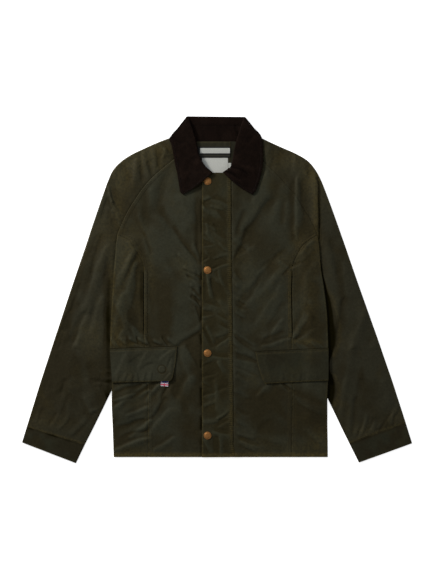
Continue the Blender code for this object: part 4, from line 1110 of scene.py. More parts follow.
def sleeve_rows(side):
    """Fine rows across a sleeve, with the raglan edge taken from the body's own curve."""
    table = SLEEVES[side]
    knots = np.arange(len(table), dtype=float)
    spans = np.hypot(np.diff(table[:, 0]), np.diff(table[:, 1]))
    at = np.concatenate([
        np.linspace(knot, knot + 1, int(math.ceil(span / GRID)), endpoint=False)
        for knot, span in enumerate(spans)
    ] + [knots[-1:]])
    rows = np.stack([smooth(knots, table[:, column], at) for column in range(4)], 1)
    raglan = (rows[:, 3] >= TUCK_Y) & (rows[:, 3] <= 314.0)
    rows[:, 2] = np.where(raglan, read(BODY, SIDE[side], rows[:, 3]), rows[:, 2])
    return rows


def fold_line(y):
    """Line at which the left sleeve's head is folded over."""
    return mix(229.8, 231.6, ramp(y, 236.0, 150.0)) - 3.5 * ramp(y, 236.0, 262.0)


def shoulder_fold(x, y):
    """Step of the left sleeve, whose head is folded over along the line of the body's side."""
    line = fold_line(y)
    high = ramp(x, line - 24.0, line - 2.0) * ramp(x, line + 0.9, line - 0.9)
    low = ramp(x, line - 0.6, line + 1.0) * ramp(x, line + 12.0, line + 2.5)
    return (1.9 * high - 1.8 * low) * ramp(y, 104.0, 116.0) * ramp(y, 270.0, 252.0)


# Long fold down the right sleeve, with painted shade on its outer side. Columns: y, x.
SLEEVE_FOLD = np.array((
    (110.0, -276.0), (86.0, -287.0), (28.0, -307.0), (-28.0, -326.0), (-84.0, -334.0), (-137.0, -341.0),
    (-200.0, -348.0), (-263.0, -357.0),
))


def sleeve_fold(x, y):
    """Strength of the shade beside the long fold of the right sleeve."""
    beside = read(SLEEVE_FOLD, 1, y) + 3.0 * noise(y, 0.0 * y, 18.0, 148) - x
    along = ramp(y, 112.0, 60.0) * ramp(y, -270.0, -190.0)
    return ramp(beside, -4.0, 6.0) * ramp(beside, 60.0, 16.0) * along


def sleeve_full(x, y, share):
    """Height of the sleeve's front above its flat stack."""
    raglan = ramp(y, 98.0, 150.0)
    crown = SLEEVE_CROWN * 4 * share * (1 - share) * mix(1.0, 0.35, raglan) + raglan * body_crown(x, y)
    crown = crown + shoulder_fold(x, y)
    visible = np.where(y < ARMHOLE_Y, ramp(1.0 - share, 0.0, 0.12), 1.0)
    raised = crown + visible * (fold_heights(x, y) + bare(x, y) * rumple(x, y))
    return kept_up(raised, visible)


# Reach of the hollow where the left sleeve dives beneath the body, painted dark as the body's shadow.
# Columns: y, reach from the body.
TUCK_HOLLOW_SHADE = np.array((
    (80.0, 0.5), (62.0, 2.5), (30.0, 4.0), (0.0, 8.0), (-25.0, 14.0), (-70.0, 19.0), (-105.0, 21.0),
    (-126.0, 17.0), (-149.0, 9.0), (-170.0, 3.0), (-182.0, 4.0), (-197.0, 12.0), (-217.0, 19.0),
    (-240.0, 19.0), (-262.0, 13.0), (-276.0, 3.0), (-290.0, 0.5),
))


def tuck_hollow_shade(side, x, y):
    """Depth from 0 to 1 of the hollow on the sleeve's inner side, which is also painted dark as the body's
    shadow, and the strength of the ochre rim round it.
    """
    if side == "right":
        depth = 0.35 * bell(x + 246.0, 9.0) * ramp(y, 90.0, -20.0)
        return depth, np.zeros_like(x)
    reach = 1.3 * read(TUCK_HOLLOW_SHADE, 1, y) + 1.0 * noise(y, 0.0 * y, 20.0, 145)
    beside = np.maximum(0.0, x - np.abs(body_edge(x, y)))
    low = ramp(y, 82.0, 66.0)
    depth = ramp(beside, np.maximum(reach, 0.6), 0.2 * reach) * low
    rim = bell(beside - reach, 4.5) * ramp(reach, 6.0, 14.0) * low
    return depth, rim


def make_sleeve_front(side, rows):
    """Front half of a raglan sleeve, folded round the outer edge."""
    outer, inner = rows[:, :2], rows[:, 2:]
    inward, length = directions(outer, inner)
    tucked = inner[:, 1] < ARMHOLE_Y
    under = neck_lift(outer[:, 0], outer[:, 1])
    distance, height = folded_edge(under, under + SLEEVE_STACK, CLOTH, np.full(len(rows), SLEEVE_RETURN))
    start = distance[:, -1]
    width = length - SEAM_GAP / 2 - np.where(tucked, 0.0, SEAM_GAP / 2) - start
    flat = spread(width)[:, 1:]
    reach = start[:, None] + flat
    x, y = plan(outer, inward, reach)
    hidden = np.maximum(0.0, np.abs(read(BODY, SIDE[side], y)) - np.abs(inner[:, :1]))
    limit = length[:, None] - hidden * length[:, None] / np.maximum(1.0, np.abs(outer[:, :1] - inner[:, :1]))
    share = np.minimum(reach / np.where(tucked[:, None], limit, length[:, None]), 1.0)
    shown = np.where(tucked[:, None] & (share >= 1.0), 0.0, 1.0)
    to_seam = width[:, None] - flat
    end = np.arange(len(rows))[::-1, None] * GRID       # distance up from the cuff
    pressed = 1.0 - 0.8 * tuck_hollow_shade(side, x, y)[0]
    top = neck_lift(x, y) + SLEEVE_STACK + sleeve_full(x, y, share) * pressed
    top += shown * (pucker(to_seam, y, side_seed(71, side), 0.2) - seam_dip(to_seam, 0.8))
    top += pucker(end, reach, 91, 0.45) * np.exp(-end / 12.0)
    fold_x, fold_y = plan(outer, inward, distance)
    wrap = distance.shape[1]
    x, y = join(fold_x, x), join(fold_y, y)
    hollow, rim = tuck_hollow_shade(side, x, y)
    wear = soft_places(x, y, OCHRE_PLACES) + 0.35 * bell(end, 2.5) + 0.2 * rim
    wear[:, wrap:] += seam_wear(to_seam) * 0.14 * shown
    wear[:, 3:wrap + 2] += 0.2      # rubbed along the fold
    # Painted sheen and shade after the creases and patches, the body's shadow painted in the tuck's hollow,
    # and painted shade beside the right sleeve's long fold.
    relief = rumple(x, y) * 0.35 + soft_places(x, y, SHEEN_AND_SHADE_PATCHES) - 3.2 * hollow - 0.6 * sleeve_fold(x, y)
    # Painted shade in a thin line just outside the fold of the left sleeve's head.
    folded_head = ramp(y, 108.0, 118.0) * ramp(y, 268.0, 246.0)
    relief -= 2.2 * folded_head * bell(x - fold_line(y) - 1.6, 2.0)
    make_piece("sleeve_front_" + side, "cloth", stack(x, y, join(height, top - CLOTH / 2)), CLOTH,
               COTTON_SLEEVE, ["floor", "sleeve_back_%s_cloth" % side], wear=wear, relief=relief)


def make_sleeve_back(side, rows):
    """Back half of a raglan sleeve, on the floor; it reaches further in just below the armhole."""
    outer, inner_x, inner_y = rows[:, :2], rows[:, 2], rows[:, 3]
    tucked = inner_y < ARMHOLE_Y
    further = 7.5 * ramp(inner_y, 122.0, 108.0) * ramp(inner_y, 78.0, 94.0)
    raglan = np.interp(-inner_y, -BACK_RAGLAN[:, 0], BACK_RAGLAN[:, EDGE[side]])
    seam = np.where(tucked, inner_x - SIGN[side] * further, raglan)
    inward, length = directions(outer, np.stack((seam, inner_y), 1))
    near = SLEEVE_STACK / 2 + SLEEVE_RETURN + SEAM_GAP
    far = length - np.where(tucked, SEAM_GAP / 2, 2 * SEAM_GAP)
    x, y = plan(outer, inward, mix(near, far[:, None], np.linspace(0.0, 1.0, 12)))
    make_piece("sleeve_back_" + side, "cloth", stack(x, y, neck_lift(x, y) + CLOTH / 2), CLOTH,
               COTTON_SLEEVE, ["floor"])


CUFF_SEED = {"right": 15, "left": 16}


def make_cuff(side):
    """Cuff band: a flat tube with a puckered seam at the sleeve."""
    ends = np.stack((SLEEVES[side][-1], CUFF_ENDS[side]))
    steps = 14
    rows = mix(ends[:1], ends[1:], np.linspace(0.002, 1.0, steps)[:, None])
    inward, length = directions(rows[:, :2], rows[:, 2:])
    length = length[:, None]
    radius = DOUBLE_CLOTH + 0.3
    bend = radius - DOUBLE_CLOTH / 2
    turn = half_turn(8)[None, :]
    side_s, side_z = radius - bend * np.cos(turn), radius + bend * np.sin(turn)
    across = np.linspace(0.0, 1.0, 30)[None, 1:-1]
    arch = np.sin(np.pi * across)
    down = np.linspace(0.0, 1.0, steps)[:, None]
    low, high = side_s[:, :1], side_s[:, -1:]
    flat_s = mix(high, length - high, across)
    unevenness = noise(flat_s, 60.0 * down, 17.0, CUFF_SEED[side])
    flat_z = side_z[:, -1:] + arch * (1.0 + 0.5 * unevenness)
    flat_z = flat_z + pucker(down * (CUFF_LENGTH - 2.0), flat_s, 93, 0.3) * arch ** 0.3
    back_s = mix(low, length - low, across[:, ::-1])
    back_z = np.full_like(back_s, side_z[0, 0])
    ring_s = np.concatenate((side_s + 0 * length, flat_s, length - side_s[:, ::-1], back_s), 1)
    ring_z = np.concatenate((side_z + 0 * length, flat_z, side_z[:, ::-1] + 0 * length, back_z), 1)
    x, y = plan(rows[:, :2], inward, ring_s)
    edge = np.minimum(down, 1 - down) * CUFF_LENGTH
    wear = bell(edge, 1.8) * (0.3 + 0.3 * noise(x, y, 5.0, 159))
    # Painted sheen and shade after the patches, the right cuff painted a little darker as shade, and painted
    # shade in a line below the seam to the sleeve.
    relief = soft_places(x, y, SHEEN_AND_SHADE_PATCHES) + 0.6 * noise(x, y, 14.0, 158) - (0.35 if side == "right" else 0.0)
    relief -= 1.2 * bell(down * CUFF_LENGTH - 3.5, 2.0)
    make_piece("cuff_" + side, "cloth", stack(x, y, ring_z), DOUBLE_CLOTH, COTTON_DARK, ["floor"],
               closed=True, wear=wear, relief=relief)


# ---------------------------------------------------------------- storm flap, welts and pocket flaps


def storm_lift(x, y):
    """How far the storm flap's free edge stands off the front."""
    edge = ramp(x, -8.0, STORM_RIGHT_X)
    waves = 0.9 + 0.5 * np.sin(y / 19.0) + 0.5 * np.sin(y / 31.0 + 1.0)
    return edge * np.maximum(0.0, waves) * ramp(y, 225.0, 190.0)


def ladder_band(left):
    """1 on the stitched band along the storm flap's sewn edge."""
    return ramp(left, 9.6, 8.2)


def ladder_wave(y):
    """Rungs of the ladder of stitches: a wave from -1 to 1."""
    return np.sin(2 * np.pi * y / LADDER_PITCH)


def storm_creases(x, y):
    """Creases in the storm flap's own cloth."""
    return crease_heights(x, y, STORM_CREASES, wander=2.5)


def storm_top(x, y):
    """Upper face of the storm flap, with its own creases, its ladder of stitches and puckered edges."""
    creases = 1.2 * storm_creases(x, y)
    soft = 0.35 * noise(x, y, 16.0, 17) + 0.12 * noise(x, y, 6.0, 18)
    right = x - STORM_RIGHT_X
    left = storm_left_x(y) - x
    band = ladder_band(left)
    ladder = 0.42 * ladder_wave(y) * band * ramp(left, 1.2, 2.6)
    seam = 0.45 * band + ladder + pucker(left, y, 101, 0.25) + pucker(right, y, 103, 0.45)
    inside = ramp(right, 0.0, 4.0) * (1.0 - band)
    raised = np.maximum(creases * inside + soft, -0.45 - storm_lift(x, y))
    loose = 0.9 * ramp(x, 28.0, 4.0)
    return front_seat(x, y) + LAYER_GAP + loose + storm_lift(x, y) + DOUBLE_CLOTH + raised + seam


def make_storm_flap():
    """Storm flap over the closure."""
    y = heights(STORM_TOP_Y, HEM_Y, LADDER_PITCH / 4)
    across = spread(storm_left_x(y) - STORM_RIGHT_X)
    x = STORM_RIGHT_X + across
    rows = each_row(y, x)
    to_left = across[:, -1:] - across
    hem = rows - HEM_Y
    top = storm_top(x, rows) - seam_dip(to_left, 1.0)
    for distance in (across, hem, STORM_TOP_Y - rows):
        top -= seam_dip(distance, 0.5)
    rungs = ramp(ladder_wave(rows), -0.3, 0.9) * ladder_band(to_left)
    wear = 0.3 * bell(to_left, 1.6) + (0.12 + 0.4 * rungs) * ladder_band(to_left)
    wear += 0.6 * bell(across, 1.8) + hem_wear(hem)
    # Painted sheen and shade after the storm flap's creases.
    relief = storm_creases(x, rows) * 0.7 + 0.4 * noise(x, rows, 24.0, 19) - 0.12
    make_piece("storm_flap", "cloth", stack(x, rows, top - DOUBLE_CLOTH / 2), DOUBLE_CLOTH, COTTON_TRIM,
               ["front_right_cloth", "front_left_cloth"], wear=wear, relief=relief)


def welt_top(x, y):
    """Upper face of a pocket welt."""
    return front_top(x, y) + WELT_GAP + WELT_CLOTH


def make_welt(side):
    """Narrow welt beside a hand-warmer pocket's slit."""
    sign = SIGN[side]
    y = heights(SLIT_TOP_Y, SLIT_LOW_Y[side], 3.0)
    edge = read(BODY, PRINCESS[side], y) - sign * SEAM_GAP
    share = np.linspace(0.0, 1.0, 9)[None, :]
    turned_edge = (2 * share - 1) ** 6
    x = edge[:, None] - sign * WELT_WIDTH * share
    rows = each_row(y, x)
    top = welt_top(x, rows) - 0.35 * turned_edge + 0.2 * noise(rows, x * 0, 7.0, 111)
    wear = (0.12 if side == "right" else 0.3) + 0.45 * turned_edge
    return make_piece("pocket_welt_" + side, "cloth", stack(x, rows, top - WELT_CLOTH / 2), WELT_CLOTH,
                      COTTON, wear=wear)


# Lower pocket flaps. Columns: the inner end's x and y at the top edge, then at the bottom edge, and
# the heights of the two edges at the body's side.
FLAPS = {
    "right": (-91.2, -127.7, -102.8, -207.0, -133.4, -210.7),
    "left": (87.6, -140.0, 107.8, -213.0, -131.8, -205.7),
}
HIDDEN_SNAP = (-124.6, -181.0)
SNAP_RADIUS = 9.3


def flap_standoff(side, x, y):
    """How far a pocket flap stands off the front, most at its inner lower corner."""
    low_x, low_y = abs(FLAPS[side][2]), FLAPS[side][3]
    low = ramp(y, -168.0, low_y)
    inner = ramp(np.abs(x), low_x + 32.0, low_x)
    return 1.8 * low + 1.2 * inner * mix(0.5, 1.0, low)


def flap_place(side, down, share):
    """Plan position on a pocket flap, down from its top edge and across from its inner end, as shares."""
    inner_top_x, inner_top_y, inner_low_x, inner_low_y, side_top_y, side_low_y = FLAPS[side]
    y = mix(mix(inner_top_y, inner_low_y, down), mix(side_top_y, side_low_y, down), share)
    edge = read(BODY, SIDE[side], y)
    bow = 2.5 * np.sin(np.pi * down) * (1 - share)
    corner = 3.0 * ramp(down, 0.93, 1.0) * ramp(share, 0.05, 0.0)
    x = mix(mix(inner_top_x, inner_low_x, down), edge, share) - SIGN[side] * bow + SIGN[side] * corner
    return x, y


def snap_distance(x, y):
    """Distance from the middle of the hidden snap."""
    return np.hypot(x - HIDDEN_SNAP[0], y - HIDDEN_SNAP[1])


def snap_ring(x, y):
    """Thin ring that the hidden snap presses into the right flap."""
    return bell(snap_distance(x, y) - SNAP_RADIUS, 1.1)


def flap_top(side, x, y, down):
    """Upper face of a pocket flap."""
    seed = side_seed(121, side)
    soft = 0.3 * noise(x, y, 30.0, seed) + 0.15 * noise(x, y, 10.0, seed + 1)
    drop = down * FLAP_LENGTH
    puckers = pucker(FLAP_LENGTH - drop, x, seed + 2, 0.3) + pucker(drop, x, seed + 3, 0.35)
    creases = np.maximum(crease_heights(x, y, FLAP_CREASES[side]), -0.9)
    raised = front_seat(x, y) + FLAP_GAP + flap_standoff(side, x, y) + DOUBLE_CLOTH
    raised += soft + puckers + creases - 0.55 * bell(drop - FLAP_STITCH, 1.5)
    if side == "right":
        raised += 0.7 * ramp(snap_distance(x, y), 8.6, 7.0) - 0.6 * snap_ring(x, y)
    return raised


def make_pocket_flap(side):
    """Lower pocket flap with turned edges."""
    down = np.concatenate(([0.0, 0.008, 0.02, 0.05], np.linspace(0.07, 0.93, 42), [0.95, 0.98, 0.992, 1.0]))
    share = np.concatenate(([0.0, 0.003, 0.01, 0.025], np.linspace(0.04, 0.975, 78), [0.99, 1.0]))
    down, share = np.meshgrid(down, share, indexing="ij")
    x, y = flap_place(side, down, share)
    drop = down * FLAP_LENGTH
    inner = share * np.abs(read(BODY, SIDE[side], y) - FLAPS[side][0])
    top = flap_top(side, x, y, down)
    wear = 0.3 * bell(drop - FLAP_STITCH, 1.5)
    for distance, worn in ((drop, 0.0), (FLAP_LENGTH - drop, 0.55), (inner, 0.4)):
        top -= seam_dip(distance, 0.5)
        wear += worn * bell(distance, 1.6)
    relief = (0.3 if side == "right" else 0.15) + 0.4 * noise(x, y, 34.0, 141)
    # Painted shade along the top edge, and in the ring that the hidden snap presses into the right flap.
    relief -= 2.4 * ramp(drop, 1.8, 0.6)
    if side == "right":
        relief -= 1.1 * snap_ring(x, y)
    make_piece("pocket_flap_" + side, "cloth", stack(x, y, top - DOUBLE_CLOTH / 2), DOUBLE_CLOTH,
               COTTON if side == "right" else COTTON_DARK,
               ["front_%s_cloth" % side, "side_front_%s_cloth" % side], wear=wear, relief=relief)


# ---------------------------------------------------------------- collar


def wing_base(x, y):
    """Lower face of the front wings."""
    chest = 2.2 * ramp(np.abs(x), 62.0, 40.0) * ramp(y, 325.0, 288.0)
    return 8.3 + chest - 2.3 * ramp(y, 366.0, 390.0) - 1.6 * ramp(y, 386.0, 395.0)


def wing_surface(rows, reach):
    """Middle points of a wing at distances in from its rolled inner edge."""
    inner, outer, bow = rows[:, :2], rows[:, 2:4], rows[:, 4:5]
    outward, length = directions(inner, outer)
    share = np.clip((reach - COLLAR_ROLL / 2) / (length[:, None] - COLLAR_ROLL / 2), 0.0, 1.0)
    x, y = plan(inner, outward, reach)
    y = y - bow * 4 * share * (1 - share)
    base = mix(wing_base(inner[:, :1], inner[:, 1:]), wing_base(x, y), share)
    z = base + COLLAR_ROLL - CORDUROY / 2 - (COLLAR_ROLL - CORDUROY) * ramp(share, 0.0, 1.0)
    inside = np.sin(np.pi * share)
    z = z + 0.6 * noise(x, y, 26.0, 151) * inside + 0.12 * noise(x, y, 8.0, 152)
    z = z + crease_heights(x, y, WING_CREASES) * inside ** 0.4
    return x, y, z


def make_wing(side):
    """Front wing of the collar, rolled at its inner edge, and its stitches."""
    table = WINGS[side]
    knots = np.arange(len(table), dtype=float)
    at = np.linspace(0.0, knots[-1], 76)
    rows = np.stack([smooth(knots, table[:, column], at) for column in range(5)], 1)
    inner = rows[:, :2]
    outward, length = directions(inner, rows[:, 2:4])
    base = wing_base(inner[:, 0], inner[:, 1])
    distance, height = folded_edge(base, base + COLLAR_ROLL, CORDUROY, np.minimum(9.0, length * 0.14))
    flat = spread(length - COLLAR_ROLL / 2)[:, 1:]
    x, y, z = wing_surface(rows, COLLAR_ROLL / 2 + flat)
    to_edge = flat[:, -1:] - flat
    z = z - 0.8 * bell(to_edge, 1.6) + 0.25 * bell(to_edge - 2.6, 1.8) - 0.45 * bell(to_edge - 6.0, 1.4)
    fold_x, fold_y = plan(inner, outward, distance)
    x, y = join(fold_x, x), join(fold_y, y)
    # Painted shade in the wing's creases, lighter on their ridges.
    relief = 0.45 * crease_heights(x, y, WING_CREASES)
    relief += 0.25 * noise(x, y, 13.0, 155) + 0.3 * noise(x, y, 5.0, 156)
    make_piece("collar_wing_" + side, "cord", stack(x, y, join(height, z)), CORDUROY, CORD[side],
               ["front_%s_cloth" % side, "sleeve_front_%s_cloth" % side], relief=relief)
    below_neck, low = 8, -3         # rows where the stitches turn the wing's corners
    outer_reach = length[below_neck:, None] - WING_STITCH
    low_reach = np.linspace(6.0, length[low] - WING_STITCH, 40)[:, None]
    low_line = np.repeat(rows[low][None], len(low_reach), axis=0)
    runs = []
    for line, reach in ((rows[below_neck:], outer_reach), (low_line, low_reach)):
        x, y, z = wing_surface(line, reach)
        runs.append(np.concatenate((x, y, z + CORDUROY / 2 + 0.1), 1))
    stitches("collar_stitches_" + side, runs, THREAD_DARK, 2.8, 1.9, 0.5)


def make_collar_stand():
    """Stand of the collar, inside the neck."""
    y = heights(STAND_SEAM_Y - SEAM_GAP, BACK_NECK_Y + SEAM_GAP, 2.4)
    half = mix(55.0, COLLAR_HALF, (y - BACK_NECK_Y) / (STAND_SEAM_Y - BACK_NECK_Y))
    x = -1.5 + half[:, None] * np.linspace(-1.0, 1.0, 55)[None, :]
    rows = each_row(y, x)
    creases = crease_heights(x, rows, STAND_CREASES)
    z = COLLAR_LIFT + CORDUROY / 2 + 0.35 * noise(x, rows, 20.0, 161) + creases
    z -= 0.9 * bell(STAND_SEAM_Y - rows, 1.5) + 0.9 * bell(rows - BACK_NECK_Y, 1.5)
    # Painted shade in the stand's creases and along its seam to the fall.
    relief = 0.3 * creases + 0.3 * noise(x, rows, 13.0, 157) - 0.9 * bell(STAND_SEAM_Y - rows, 1.8)
    make_piece("collar_stand", "cord", stack(x, rows, z), CORDUROY, CORD["back"], ["collar_fall_back_cord"],
               relief=relief)


def make_collar_fall():
    """Fall of the collar, which folds over at the top and lies behind the neck."""
    radius = (COLLAR_LIFT + CORDUROY) / 2
    bend = radius - CORDUROY / 2
    turn = half_turn(12)[::-1]
    front_y = np.linspace(STAND_SEAM_Y + SEAM_GAP, COLLAR_TOP_Y - radius, 8)[:-1]
    low_y = np.linspace(COLLAR_TOP_Y - radius, 327.0, 24)[1:]
    path_y = np.concatenate((front_y, COLLAR_TOP_Y - radius + bend * np.cos(turn), low_y))
    path_z = np.concatenate((np.full_like(front_y, radius + bend), radius + bend * np.sin(turn),
                             np.full_like(low_y, radius - bend)))
    path_z[:2] -= (1.0, 0.25)       # rolls down at the seam
    half = np.full(len(path_y), COLLAR_HALF)
    half[-len(low_y):] = mix(COLLAR_HALF, 104.0, ramp(low_y, COLLAR_TOP_Y, 345.0))
    share = np.linspace(-1.0, 1.0, 55)[:, None]
    path_y = path_y - COLLAR_TILT * share * ramp(path_y, 380.0, COLLAR_TOP_Y)
    make_piece("collar_fall_back", "cord", stack(share * half - 1.8, path_y, path_z), CORDUROY, CORD["back"],
               ["floor"])


# ---------------------------------------------------------------- neck trim, flag tab and snaps


def trim_piece(node_name, kind, sides, bottom, thickness, material, rests_on=(),
               spacing=2.5, stripe=(0.0, 0.0), ruffle=0.0):
    """A small flat piece of cloth or tape on a surface; sides are its x and y limits."""
    x0, x1, y0, y1 = sides
    x, y = np.meshgrid(np.linspace(x0, x1, max(3, int((x1 - x0) / spacing))),
                       np.linspace(y1, y0, max(3, int((y1 - y0) / spacing))))
    edge = np.minimum(np.minimum(x - x0, x1 - x), np.minimum(y - y0, y1 - y))
    z = bottom(x, y) + thickness / 2 + 0.12 * noise(x, y, 14.0, 171) * ramp(edge, 0.0, 6.0)
    z += ruffle * (0.6 + noise(x, 0.0 * y, 4.5, 173)) * ramp(y, 318.0, 334.0) * ramp(y, 337.0, 334.5)
    striped = ((y > stripe[0]) & (y < stripe[1])) * 1.0
    return make_piece(node_name, kind, stack(x, y, z), thickness, material, rests_on,
                      wear=0.4 * bell(edge, 1.5), relief=striped)


def make_neck_trim():
    """Patch, tape and blank labels inside the back neck."""
    def inside(x, y):
        """Upper face of the back panel."""
        return back_under(x, y) + CLOTH + TAPE_GAP

    def on_patch(x, y):
        """Upper face of the patch."""
        return inside(x, y) + PATCH_CLOTH + TAPE_GAP

    def on_tape(x, y):
        """Upper face of the hanger tape."""
        return on_patch(x, y) + TAPE + TAPE_GAP

    size = trim_piece("label_size", "blank", (25.8, 32.6, 277.7, 289.1), on_patch, TAPE, LABEL, spacing=1.5)
    trim_piece("neck_patch", "cloth", (-46.0, 31.0, 258.0, 337.0), inside, PATCH_CLOTH, COTTON_INSIDE,
               ["back_panel_cloth"], ruffle=0.6)
    trim_piece("hanger_tape", "weave", (-44.0, 30.2, 302.0, 325.8), on_patch, TAPE, DARK_TAPE,
               ["neck_patch_cloth"], spacing=0.9, stripe=(304.3, 307.4))
    trim_piece("label_narrow", "blank", (-38.3, 29.9, 310.8, 322.6), on_tape, TAPE, LABEL,
               ["hanger_tape_weave"])
    trim_piece("label_main", "blank", (-33.7, 25.3, 262.0, 300.4), on_patch, TAPE, LABEL,
               ["neck_patch_cloth"])


TAB = (-127.6, -110.2, -219.6, -202.0)      # limits in x and y
TAB_TURN = math.radians(-4)
FLAG_TOP = 3.0        # the flag's own heights, in halves of its width from its middle
FLAG_BOTTOM = -0.75


def make_flag_tab():
    """Folded flag tab beneath the right pocket flap."""
    x0, x1, y0, y1 = TAB
    u, v = np.meshgrid(np.linspace(-1.0, 1.0, 25), np.linspace(FLAG_TOP, FLAG_BOTTOM, 25))
    x = (x1 - x0) / 2 * u
    y = (y1 - y0) * ((v - FLAG_BOTTOM) / (FLAG_TOP - FLAG_BOTTOM) - 0.5)
    px = (x0 + x1) / 2 + x * math.cos(TAB_TURN) - y * math.sin(TAB_TURN)
    py = (y0 + y1) / 2 + x * math.sin(TAB_TURN) + y * math.cos(TAB_TURN)
    z = front_seat(px, py) + 0.4 + TAPE / 2 + 0.5 * ramp(py, -211.0, -221.0)
    piece = make_piece("flag_tab", "weave", stack(px, py, z), TAPE, FLAG, ["front_right_cloth"])
    for key, values in (("flag_u", u), ("flag_v", v)):
        layer = piece.data.attributes.new(key, "FLOAT", "POINT")
        layer.data.foreach_set("value", np.tile(values.ravel(), 2).astype(np.float32))


SNAP_X = -21.0
SNAP_HEIGHTS = (246.9, 44.7, -144.1, -331.3)
# Sections of a snap's cap and of the groove in it. Columns: radius, height.
CAP_PROFILE = (
    (0.0, 2.5), (2.0, 2.47), (3.8, 2.4), (5.2, 2.28), (6.0, 2.1), (6.5, 1.85), (6.8, 1.6), (7.1, 1.5),
    (7.4, 1.55), (7.8, 1.6), (8.2, 1.5), (8.6, 1.15), (8.8, 0.6), (8.8, 0.1), (8.4, 0.0), (0.0, 0.0),
)
GROOVE_PROFILE = ((6.95, 1.5), (7.1, 1.58), (7.25, 1.5), (7.25, 1.3), (6.95, 1.3), (6.95, 1.5))


def turned(name, profile, centre, material, node_name=None):
    """Turn a profile of (radius, height) pairs into a closed round piece."""
    sides = 48
    profile = np.array(profile)
    angles = 2 * np.pi * np.arange(sides) / sides
    radius = np.maximum(profile[:, :1], 0.02)
    grid = stack(centre[0] + radius * np.cos(angles), centre[1] + radius * np.sin(angles),
                 centre[2] + profile[:, 1:] + 0 * radius)
    index = np.arange(grid.shape[0] * sides).reshape(-1, sides)
    after = np.roll(index, -1, axis=1)
    quads = np.stack((index[:-1], index[1:], after[1:], after[:-1]), 2).reshape(-1, 4)
    finish_piece(make_mesh(name, grid.reshape(-1, 3), quads, material, smooth_angle=50), node_name)


def make_snaps():
    """Four snaps: a domed brass cap with a rolled rim, and the dark groove inside the rim."""
    for number, y in enumerate(SNAP_HEIGHTS, 1):
        name = "snap_%d" % number
        seat = (SNAP_X, y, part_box(name)[0][2] / MM)
        turned(name + "_cap", CAP_PROFILE, seat, BRASS, name)
        turned(name + "_groove", GROOVE_PROFILE, seat, DARK_BRASS)


# ---------------------------------------------------------------- seams' stitching


BODY_SEAM_INSETS = (1.8, 7.6)           # two rows of stitches in a felled seam
STORM_SEAM_INSETS = (1.8, 7.2)
HEM_STITCH_Y = HEM_Y + 9.0
HEM_START = {"right": 36.0, "left": 44.0}       # the storm flap covers the fronts' hems up to here


def split_runs(x, y, keep):
    """The parts of a line that are kept, if they have at least three points."""
    runs = []
    start = None
    for place in range(len(x) + 1):
        inside = place < len(x) and keep[place]
        if inside and start is None:
            start = place
        if not inside and start is not None:
            if place - start > 2:
                runs.append((x[start:place], y[start:place]))
            start = None
    return runs


def front_stitches(side):
    """Runs along a front's princess seam, where nothing covers it, and its welt, hem and pocket flap."""
    sign = SIGN[side]
    runs = []
    y = heights(312.0, HEM_Y + 12.0, 5.0)
    x = read(BODY, PRINCESS[side], y)
    for inset in BODY_SEAM_INSETS:
        px, py = offset_line(x, y, sign * -inset)
        pocket_flap = (py < -128.0) & (py > -214.0)
        welt = (py < SLIT_TOP_Y + 6.0) & (py > SLIT_LOW_Y[side] - 6.0) & (inset < WELT_WIDTH)
        collar = (py > 205.0) & (np.abs(px) < 104.0)
        for part in split_runs(px, py, ~(pocket_flap | welt | collar)):
            runs.append(on_top(*part, front_top, 0.5))
    y = heights(SLIT_TOP_Y - 2.0, SLIT_LOW_Y[side] + 2.0, 4.0)
    x = read(BODY, PRINCESS[side], y) - sign * (WELT_WIDTH - 1.0)
    runs.append(on_top(x, y, welt_top, 0.05))
    hem_end = abs(float(read(BODY, SIDE[side], HEM_Y))) - 3.0
    x = sign * np.linspace(HEM_START[side], hem_end, 50)
    runs.append(on_top(x, np.full_like(x, HEM_STITCH_Y), front_top, 0.45))
    across = np.linspace(0.02, 0.985, 60)
    for down, share in ((0.075, across), (0.955, across), (np.linspace(0.06, 0.95, 30), 0.022)):
        x, y = flap_place(side, down + 0.0 * share, share + 0.0 * down)
        runs.append(np.stack((x, y, flap_top(side, x, y, down)), 1))
    return runs


def make_stitching(sleeve_lines):
    """Top-stitching of the body's and the sleeves' seams, as one mesh each."""
    body_runs = front_stitches("right") + front_stitches("left")
    y = heights(STORM_TOP_Y - 3.0, HEM_Y + 3.0, 4.0)
    for inset in STORM_SEAM_INSETS:
        body_runs.append(on_top(storm_left_x(y) - inset, y, storm_top, 0.05))
    x = np.linspace(STORM_RIGHT_X + 3.0, 36.0, 18)
    body_runs.append(on_top(x, np.full_like(x, HEM_STITCH_Y), storm_top, 0.05))
    stitches("body_stitches", body_runs, THREAD)
    share = np.linspace(0.04, 0.97, 50)
    sleeve_runs = []
    for rows in sleeve_lines.values():
        x, y = [mix(rows[-2, axis], rows[-2, axis + 2], share) for axis in range(2)]
        sleeve_runs.append(np.stack((x, y, SLEEVE_STACK + sleeve_full(x, y, share) + 0.1), 1))
    stitches("sleeve_stitches", sleeve_runs, THREAD)


# ---------------------------------------------------------------- stage

PHOTO_HEIGHT_PX = 579
MM_PER_PX = 2.28
LENS_MM = 100.0
SENSOR_MM = 36.0
FRAME_CENTRE = (0.46, 0.68)      # below the camera


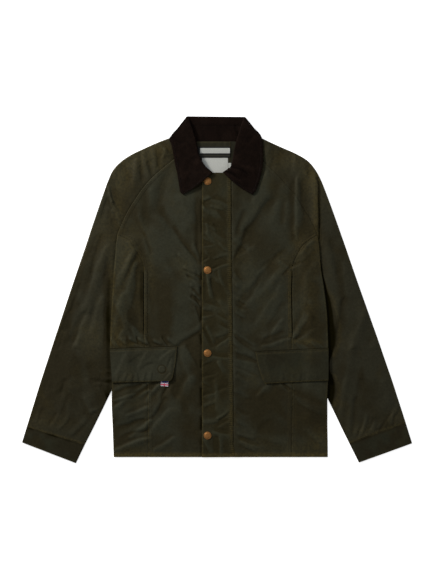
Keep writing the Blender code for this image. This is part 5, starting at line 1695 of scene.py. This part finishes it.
def make_floor():
    """Plain white floor."""
    size = 6.0            # metres, as in the rest of the stage
    mesh = bpy.data.meshes.new("floor")
    corners = [(-size, -size, 0.0), (size, -size, 0.0), (size, size, 0.0), (-size, size, 0.0)]
    mesh.from_pydata(corners, [], [(0, 1, 2, 3)])
    floor = bpy.data.objects.new("floor", mesh)
    floor.location = (0.0, 0.0, -0.0003)
    bpy.context.collection.objects.link(floor)
    material, tree, shader, _ = new_material("floor_white")
    for key, value in (("Base Color", (0.9, 0.9, 0.9)), ("Roughness", 0.9), ("Specular IOR Level", 0.1),
                       ("Emission Color", (1.0, 1.0, 1.0)), ("Emission Strength", 0.75)):
        feed(tree, shader.inputs[key], value)
    mesh.materials.append(material)


def add_light(name, place, size, power, colour):
    """A square soft light that faces the jacket."""
    light = bpy.data.lights.new(name, "AREA")
    light.size = size
    light.energy = power
    light.color = colour
    item = bpy.data.objects.new(name, light)
    item.location = place
    item.rotation_euler = (-Vector(place)).to_track_quat("-Z", "Y").to_euler()
    bpy.context.collection.objects.link(item)


def make_light():
    """Soft key from the upper left of the view, a weaker fill from the right, and a dim room."""
    add_light("key", (-2.4, 1.9, 1.7), 0.8, 122.0, (1.0, 0.98, 0.93))
    add_light("gloss", (-1.1, 1.2, 2.7), 0.9, 18.0, (0.85, 0.95, 1.0))
    add_light("fill", (2.3, -0.6, 2.2), 1.6, 14.0, (0.94, 0.97, 1.0))
    world = bpy.data.worlds.new("room")
    world.use_nodes = True
    world.node_tree.nodes["Background"].inputs["Color"].default_value = (1.0, 1.0, 1.0, 1.0)
    world.node_tree.nodes["Background"].inputs["Strength"].default_value = 0.14
    bpy.context.scene.world = world
    bpy.context.scene.view_settings.view_transform = "Standard"


def make_camera():
    """Long lens straight above the jacket."""
    data = bpy.data.cameras.new("camera")
    data.lens = LENS_MM
    data.sensor_fit = "VERTICAL"
    data.sensor_height = SENSOR_MM
    camera = bpy.data.objects.new("camera", data)
    frame_height = PHOTO_HEIGHT_PX * MM_PER_PX * MM
    camera.location = (FRAME_CENTRE[0] * MM, FRAME_CENTRE[1] * MM, frame_height * LENS_MM / SENSOR_MM)
    bpy.context.collection.objects.link(camera)
    bpy.context.scene.camera = camera


def main():
    """Dress the frame and set the stage."""
    make_camera()
    make_floor()
    make_light()
    make_back()
    sleeve_lines = {}
    for side in ("right", "left"):
        make_front(side, make_welt(side))
        make_side_front(side)
        sleeve_lines[side] = sleeve_rows(side)
        make_sleeve_front(side, sleeve_lines[side])
        make_sleeve_back(side, sleeve_lines[side])
        make_cuff(side)
        make_pocket_flap(side)
        make_wing(side)
    make_storm_flap()
    make_collar_stand()
    make_collar_fall()
    make_neck_trim()
    make_flag_tab()
    make_snaps()
    make_stitching(sleeve_lines)


main()
